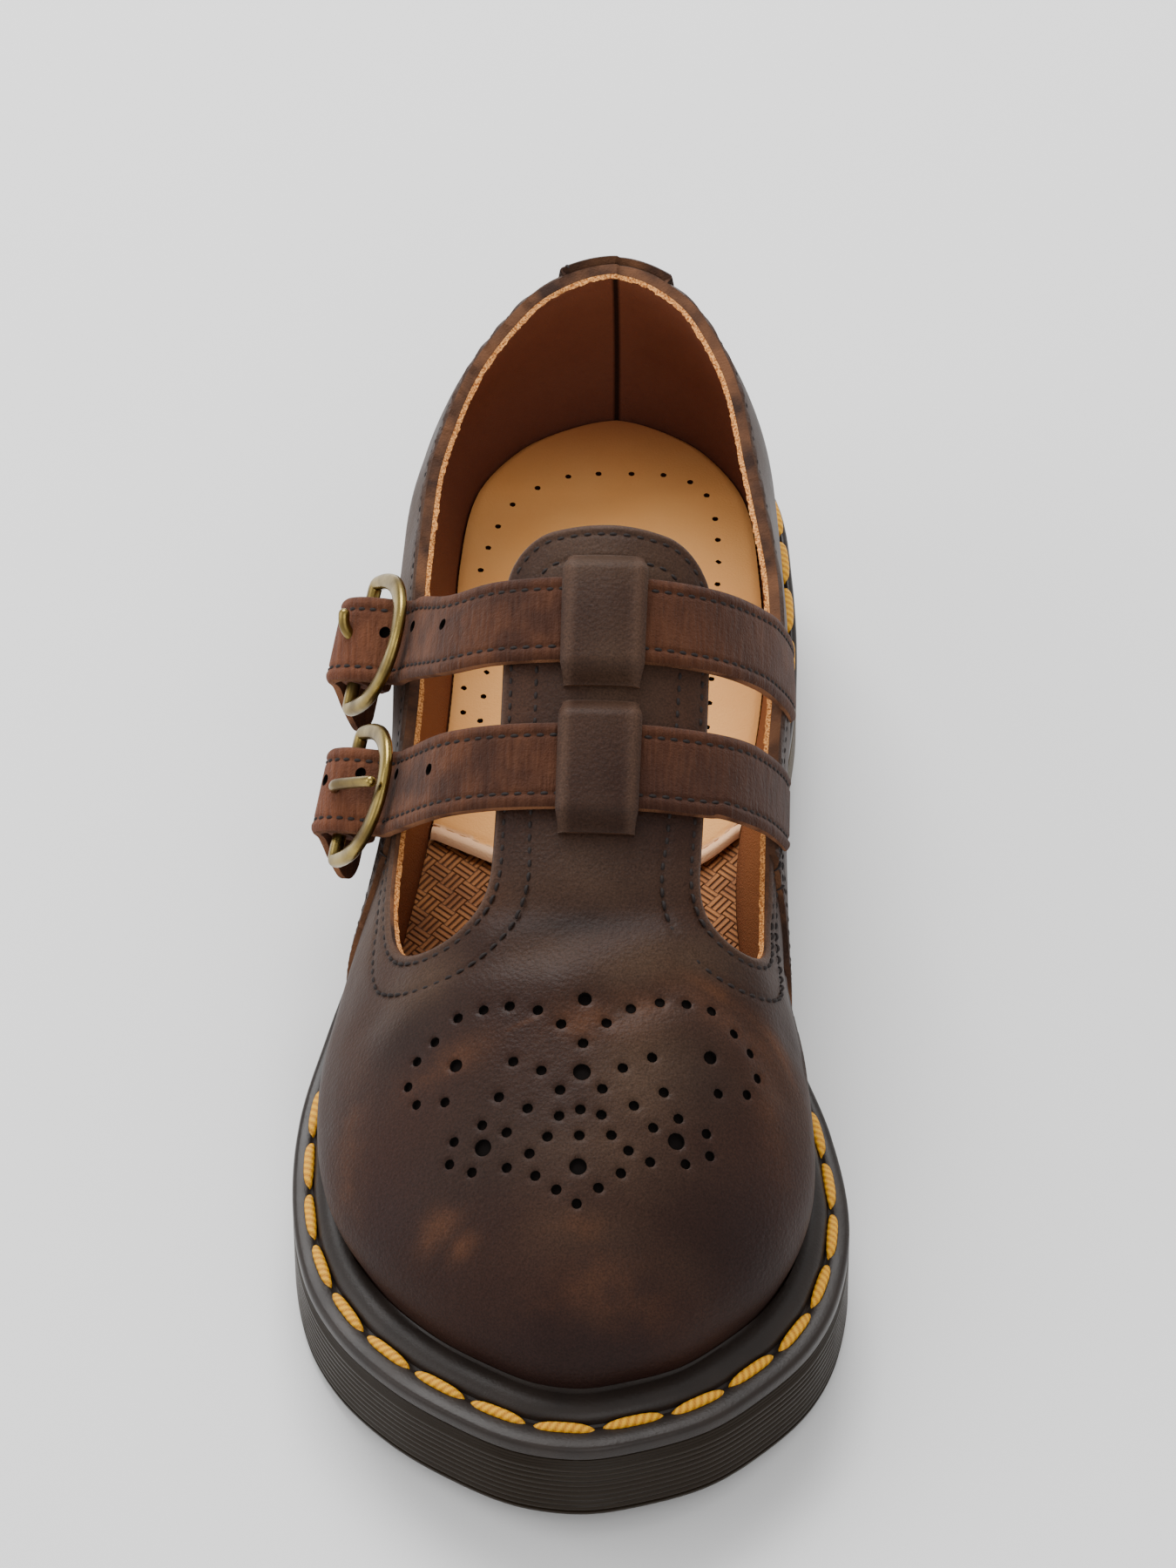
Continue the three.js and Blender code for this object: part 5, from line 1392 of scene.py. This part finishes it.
strap_leather = plain_material("strap_leather", (0.13, 0.052, 0.024), 0.85, Specular_IOR_Level=0.1,
                               Sheen_Weight=0.06, Sheen_Roughness=0.5)
pattern = hide_of(strap_leather, 1100)
link = strap_leather.node_tree.links.new
place, part_of_place = place_of(strap_leather)
cloud = band_of(strap_leather, pattern["Mottle"], 0.38, 0.64)
patchy = band_of(strap_leather, pattern["Blotch"], 0.40, 0.60)
color = mix_colors(strap_leather, cloud, (0.048, 0.019, 0.011), (0.082, 0.030, 0.014))
# Lighter in patches toward the outer side: patchy tone and painted light where the left softbox falls.
patchy_tone_and_lit_side = math_of(strap_leather, "MULTIPLY", patchy, band_of(strap_leather, part_of_place["X"], 0.004, -0.050))
color = mix_colors(strap_leather, patchy_tone_and_lit_side, color, (0.125, 0.046, 0.020))
# Lighter and more orange still furthest out on the outer side: a painted highlight.
lit_side_highlight = math_of(strap_leather, "MULTIPLY", band_of(strap_leather, part_of_place["X"], -0.040, -0.055), 0.8)
color = mix_colors(strap_leather, lit_side_highlight, color, (0.165, 0.055, 0.026))
streaks = node_of(strap_leather, "ShaderNodeMapping", Scale=(1500, 160, 160))
link(place, streaks.inputs["Vector"])
nap = node_of(strap_leather, "ShaderNodeTexNoise", Scale=1.0, Detail=3.0)
link(streaks.outputs["Vector"], nap.inputs["Vector"])
nap_value = band_of(strap_leather, nap.outputs["Fac"], 0.3, 0.7)
flattened = mix_colors(strap_leather, 1.0, color, (0.66, 0.60, 0.58), "MULTIPLY")
plug(strap_leather, mix_colors(strap_leather, nap_value, flattened, color), "Base Color")
bump_of(strap_leather, [(pattern["Speck"], 1.0), (nap_value, 0.7), (pattern["Grain"], 0.6)], 0.00022)
strap_edge = raw_edge("strap_edge", (0.20, 0.085, 0.04), 0.95, 0.1, "Blotch", 0.35, 0.62,
                      (0.065, 0.026, 0.014), (0.20, 0.085, 0.040), 0.0003)
strap_rows, strap_columns = 300, 47
stitch_rows = []
knot_count = 9
knots = np.linspace(1, -1, knot_count) * strap_width / 2
for name, strap in straps.items():
    ridge_top = np.array([0, y_of(strap["ridge_along"]), ridge_height(strap["ridge_along"])])
    plane = float(ridge_top @ strap_axis)
    strap["plane"] = plane
    bar_plane = np.array([plane + strap["bar_shift"]])
    origin = band_points(-1, bar_plane, 2, strap["bar_height"] * collar_height, 0)[0]
    inward = np.array([math.cos(frame_tilt), 0, math.sin(frame_tilt)])
    inward = unit(inward - (inward @ bar_axis) * bar_axis)
    normal = np.cross(bar_axis, inward)
    axes = {"origin": origin - np.array([strap["stand_off"], 0, 0]), "along": bar_axis, "inward": inward,
            "normal": normal * np.sign(normal[2])}
    strap["axes"] = axes
    root_lift = quarter_step + 0.15
    root_rows = [band_points(1, plane + knots, 2, h * collar_height, root_lift) for h in strap_root]
    way_rows = [band_points(1 if x > 1 else -1, plane + knots, 0, x, strap_lift + more)
                for x, more in strap_way]
    end_rows = [np.array([in_buckle(axes, across, b, c) for across in knots]) for b, c in strap_end]
    fold = end_rows[-1]
    tail = [fold + np.array([1.5, -0.8, -strap["tail"] * 0.35]), fold + np.array([5, -2, -strap["tail"]])]
    way = np.array(root_rows + way_rows + end_rows + tail)
    fine = np.linspace(0, 1, 3001)
    run = run_of(curve_at(way[:, knot_count // 2], fine))
    s = np.linspace(0, run[-1], strap_rows)
    curves = curve_at(way, np.interp(s, run, fine))
    from_end = np.clip((s - (run[-1] - 6)) / 6, 0, 1)
    narrow = np.sqrt(1 - 0.9 * from_end**2.4)
    across = np.linspace(1, -1, strap_columns)
    places = across[None] * narrow[:, None] * strap_width / 2
    grid = sum(smooth(knots[::-1], np.eye(knot_count)[-1 - k], places)[..., None] * curves[:, k][:, None]
               for k in range(knot_count))
    edge = np.minimum(strap_width / 2 * narrow[:, None] * (1 - np.abs(across))[None], (run[-1] - s)[:, None])
    normals = unit(np.cross(np.gradient(grid, axis=0), np.gradient(grid, axis=1)))
    thickness = strap_thickness * np.clip(pared_share + (1 - pared_share) * s / pared_length, 0, 1)[:, None]
    bumps = -0.55 * rounding(edge, 1.0) + 0.14 * bell(edge, 1.5, 0.7) - 0.34 * bell(edge, strap_seam, 0.5)
    for at, depth in strap["creases"]:
        bend = 0.8 * np.sin(across * 2.1 + at)[None]
        bumps -= depth * bell(s[:, None], at + bend, 0.55) * np.clip(edge / 3, 0, 1)
    top_grid = grid + normals * (thickness + bumps)[..., None]
    strap_sheet = grid_sheet(top_grid)
    strap_sheet["normals"] = normals.reshape(-1, 3)
    nearest = [np.argmin(((strap_sheet["points"] - hole) ** 2).sum(1)) for hole in np.array(strap["holes"])]
    holes_here = strap_sheet["points"][nearest]

    def strap_hole_at(p):
        far = np.linalg.norm(p[:, None] - holes_here[None], axis=-1)
        return strap_hole_radius - far.min(1)

    # The strap's punch holes take the same near-black painted shade.
    piece = slab_piece(f"strap_{name}_nappy", strap_sheet, (thickness + bumps).ravel(),
                       [strap_leather, strap_edge, hole_painted_shade], strap_hole_at)
    keep = slice(3, strap_rows - 12)
    for side_share in (1, -1):
        seam_share = side_share * (1 - strap_seam / (strap_width / 2))
        column = int(round((1 - seam_share) / 2 * (strap_columns - 1)))
        stitch_rows.append(spaced_places(top_grid[keep, column] + 0.12 * normals[keep, column],
                                         normals[keep, column], 2.55))
    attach(piece, "root")
    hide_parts(f"strap_{name}")
strap_stitches = stitch_piece("strap_stitches", stitch_rows, 1.85, 0.36, 0.45, dark_thread)
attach(strap_stitches, "root")


# Loops: strips of the T-bar's own leather between two slits, raised over each strap, with reddish
# raw edges; they run out smoothly into the T-bar.
loop_middle = 1.9
loop_width = 13.0
loop_thickness = 1.2
loop_ramp = 4.2
loop_rows, loop_columns = 19, 7
for name, strap in straps.items():
    reach = strap_width / 2 + loop_ramp + 0.4
    half = loop_width / 2
    down_way, down_fine = np.linspace(-reach, reach, loop_rows), np.linspace(-reach, reach, 91)
    over_way, over_fine = np.linspace(half, -half, loop_columns), np.linspace(half, -half, 37)
    planes, places = np.meshgrid(strap["plane"] - down_way, over_way + loop_middle, indexing="ij")
    flat = places.ravel()
    weights_down = np.stack([smooth(down_way, row, down_fine) for row in np.eye(loop_rows)], -1)
    weights_over = np.stack([smooth(over_way[::-1], row, over_fine)
                             for row in np.eye(loop_columns)[::-1]], -1)
    skins = [band_points(np.where(flat < 1, -1, 1), planes.ravel(), 0, flat, out) for out in (0.0, 1.0)]
    base, above = (np.einsum("rk,cl,klx->rcx", weights_down, weights_over, skin.reshape(*places.shape, 3))
                   for skin in skins)
    share = np.clip((reach - np.abs(down_fine)) / loop_ramp, 0, 1)
    share = share**2 * (3 - 2 * share)
    edge = half - np.abs(over_fine)
    sag = 0.25 * (over_fine / half) ** 2
    lift = -0.15 + (strap_lift - 0.3 + strap_thickness + 0.2 + loop_thickness) * share
    lift = lift[:, None] - 0.5 * rounding(edge, 1.0)[None] - sag[None] * share[:, None]
    lift = lift + 0.12 * bell(edge, 1.2, 0.8)[None] * share[:, None]
    loop_sheet = grid_sheet(base + (above - base) * lift[..., None])
    piece = slab_piece(f"loop_{name}", loop_sheet, loop_thickness, [upper_leather, cut_edge])
    loop_points = np.array([v.co[:] for v in piece.data.vertices]) / mm
    for kind in patches:
        store_value(piece, kind, patch_strength(loop_points, kind))
    edge_far = half - np.abs(loop_points[:, 0] - loop_middle)
    # A lighter band along the loop's edges: edge wear together with a painted highlight on the rim.
    store_value(piece, "lip_wear_and_highlight", bell(edge_far, 0, 1.1))
    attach(piece, "root")


# Buckles: antique brass D frames with a flattened bow, a round bar, and bent wire prongs; each
# frame hangs in a stay, a leather tab folded round the bar and sewn to the quarter.
frame_depth = 18
frame_width = 25.5
bow_fullness = 0.7
bar_radius = 1.3
bow_radius = 1.9
prong_radius = 1.1
stay_width = 15
stay_thickness = 1.5
prong_hook = [(0, 0.2, -2.8), (0, 2.7, -1.6), (0, 3.4, 1.2)]
prong_ways = {
    "front": prong_hook + [(0, 4.8, 4.4), (0, 7.5, 5.6), (0, 12.5, 4.8), (0, 18, 3.4), (0, 20.2, 2.6)],
    "rear": prong_hook + [(0.4, 4.4, 4.2), (2, 5, 6.2), (5, 5.6, 7.2)],
}


def rod_piece(name, points, broad, thin, up, closed, material, squareness=1.0):
    """A rod through points, oval across, closed into a ring or with capped ends."""
    sides = 24
    if closed:
        ahead = np.roll(points, -1, axis=0) - np.roll(points, 1, axis=0)
    else:
        ahead = np.gradient(points, axis=0)
    ahead = unit(ahead)
    aside = unit(np.cross(ahead, up))
    top = np.cross(aside, ahead)
    angle = np.linspace(0, 2 * np.pi, sides, endpoint=False)
    bent = lambda v: np.sign(v) * np.abs(v) ** squareness
    ring = (points[:, None] + aside[:, None] * (broad[:, None] * bent(np.cos(angle))[None])[..., None]
            + top[:, None] * (thin[:, None] * bent(np.sin(angle))[None])[..., None])
    rows = len(points)
    faces = ring_faces(rows, sides, closed).tolist()
    if not closed:
        faces += [list(range(sides))[::-1], list(range((rows - 1) * sides, rows * sides))]
    piece = make_piece(name, ring.reshape(-1, 3), faces)
    piece.data.materials.append(material)
    face_outwards(piece)
    finish_smooth(piece, 60)
    return piece


buckle_brass = plain_material("buckle_brass", (0.33, 0.26, 0.10), 0.3, Metallic=1.0)
pattern = hide_of(buckle_brass, 900)
tarnish = band_of(buckle_brass, pattern["Blotch"], 0.42, 0.66)
brass = mix_colors(buckle_brass, tarnish, (0.30, 0.215, 0.062), (0.115, 0.078, 0.028))
plug(buckle_brass, brass, "Base Color")
plug(buckle_brass, math_of(buckle_brass, "MULTIPLY_ADD", tarnish, 0.22, 0.22), "Roughness")
bump_of(buckle_brass, [(pattern["Speck"], 1.0)], 0.00002)
for name, strap in straps.items():
    axes = strap["axes"]
    angle = np.linspace(0, np.pi, 90)
    half = frame_width / 2
    a = np.concatenate([half * np.cos(angle), half * np.linspace(-0.97, 0.97, 50)])
    b = np.concatenate([frame_depth * np.sin(angle) ** bow_fullness, np.zeros(50)])
    a, b = np.append(a, a[0]), np.append(b, b[0])
    run = run_of(np.column_stack([a, b]))
    even = np.linspace(0, run[-1], 200, endpoint=False)
    a, b = (np.interp(even, run, v) for v in (a, b))
    kernel = np.exp(-(np.arange(-9, 10) / 3.6) ** 2)
    kernel /= kernel.sum()
    a, b = (np.convolve(np.concatenate([v[-9:], v, v[:9]]), kernel, "valid") for v in (a, b))
    bow_share = np.clip(b / frame_depth, 0, 1) ** 0.8
    broad = bar_radius + (bow_radius - bar_radius) * bow_share
    thin = bar_radius - 0.25 * bow_share
    points = np.array([in_buckle(axes, p, q, 0) for p, q in zip(a, b)])
    piece = rod_piece(f"buckle_frame_{name}_smooth", points, broad, thin, axes["normal"], True, buckle_brass,
                      squareness=0.8)
    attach(piece, "root")
    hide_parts(f"buckle_frame_{name}")
    way = np.array([in_buckle(axes, *q) for q in prong_ways[name]])
    along_prong = np.linspace(0, 1, 60)
    past_round = np.clip((along_prong - 0.93) / 0.072, 0, 1)
    radius = prong_radius * np.sqrt(np.clip(1 - past_round**2, 0.02, 1))
    points = curve_at(way, along_prong)
    piece = rod_piece(f"buckle_prong_{name}_bent", points, radius, radius, axes["along"], False,
                      buckle_brass)
    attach(piece, "root")
    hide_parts(f"buckle_prong_{name}")
    fold = bar_radius + 0.15 + stay_thickness
    reach = (strap["stand_off"] - quarter_step - fit) * math.sin(frame_tilt)
    turns = np.linspace(-0.25 * np.pi, 1.25 * np.pi, 40)
    outline = [(math.cos(t) * fold, math.sin(t) * fold) for t in turns]
    outline += [(-stay_thickness, -reach), (stay_thickness, -reach)]
    points = []
    for share_out, shrink in ((-1, 0.86), (-0.97, 0.95), (-0.9, 1), (0.9, 1), (0.97, 0.95), (1, 0.86)):
        a = share_out * stay_width / 2
        points += [in_buckle(axes, a, b * shrink, c * shrink - (1 - shrink) * 2) for b, c in outline]
    corners = len(outline)
    faces = ring_faces(6, corners).tolist()
    faces += [list(range(corners))[::-1], list(range(5 * corners, 6 * corners))]
    piece = make_piece(f"buckle_stay_{name}_fold", points, faces)
    piece.data.materials.append(strap_leather)
    face_outwards(piece)
    finish_smooth(piece, 45)
    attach(piece, "root")
    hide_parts(f"buckle_stay_{name}")


# Welt stitches: plump golden-yellow threads lying in the groove at the foot of the bead, twisted
# finely along their length; painted shade between the strands, painted highlight where they stand out.
welt_stitch_pitch = 13.0
welt_stitch_length = 11.6
w_fine = np.linspace(0, 2, 4001)
groove_inset = welt_inset(w_fine) - bead_at(w_fine) * 1.22
groove_xy = inset_at(w_fine, groove_inset)
groove_line = np.column_stack([groove_xy, welt_top(along_of(groove_xy[:, 1])) + 0.15])
out_tilt = groove_xy - inset_at(w_fine, groove_inset + 1)
groove_up = unit(np.column_stack([out_tilt * 0.35, np.ones(len(w_fine))]))
yellow_thread = plain_material("yellow_thread", (0.72, 0.33, 0.008), 0.55, Specular_IOR_Level=0.3)
twist_value = band_of(yellow_thread, value_of(yellow_thread, "twist"), 0.0, 1.0)
# Darker between the strands and lighter on them: painted shade and painted highlight.
yellow = mix_colors(yellow_thread, twist_value, (0.42, 0.15, 0.004), (0.86, 0.44, 0.012))
plug(yellow_thread, yellow, "Base Color")
bump_of(yellow_thread, [(twist_value, 1.0)], 0.00015)
places = spaced_places(groove_line, groove_up, welt_stitch_pitch)
rings, sides = 33, 12
s = np.linspace(-1, 1, rings)
angle = np.linspace(0, 2 * np.pi, sides, endpoint=False)
thick = 0.95 * np.sqrt(np.clip(1.02 - np.abs(s) ** 2.6, 0.02, 1))
shape = np.array([[s[i] * welt_stitch_length / 2, thick[i] * 1.1 * math.cos(t),
                   0.25 - 0.9 * abs(s[i]) ** 4 + thick[i] * 0.85 * math.sin(t)]
                  for i in range(rings) for t in angle])
faces = ring_faces(rings, sides).tolist()
faces += [list(range(sides))[::-1], list(range((rings - 1) * sides, rings * sides))]
welt_stitches = copies_piece("welt_stitches", places, shape, faces)
welt_stitches.data.materials.append(yellow_thread)
twist = np.array([0.5 + 0.5 * math.sin(t * 2 + s[i] * 24) for i in range(rings) for t in angle])
store_value(welt_stitches, "twist", np.tile(twist, len(places[0])))
finish_smooth(welt_stitches, 70)
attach(welt_stitches, "root")
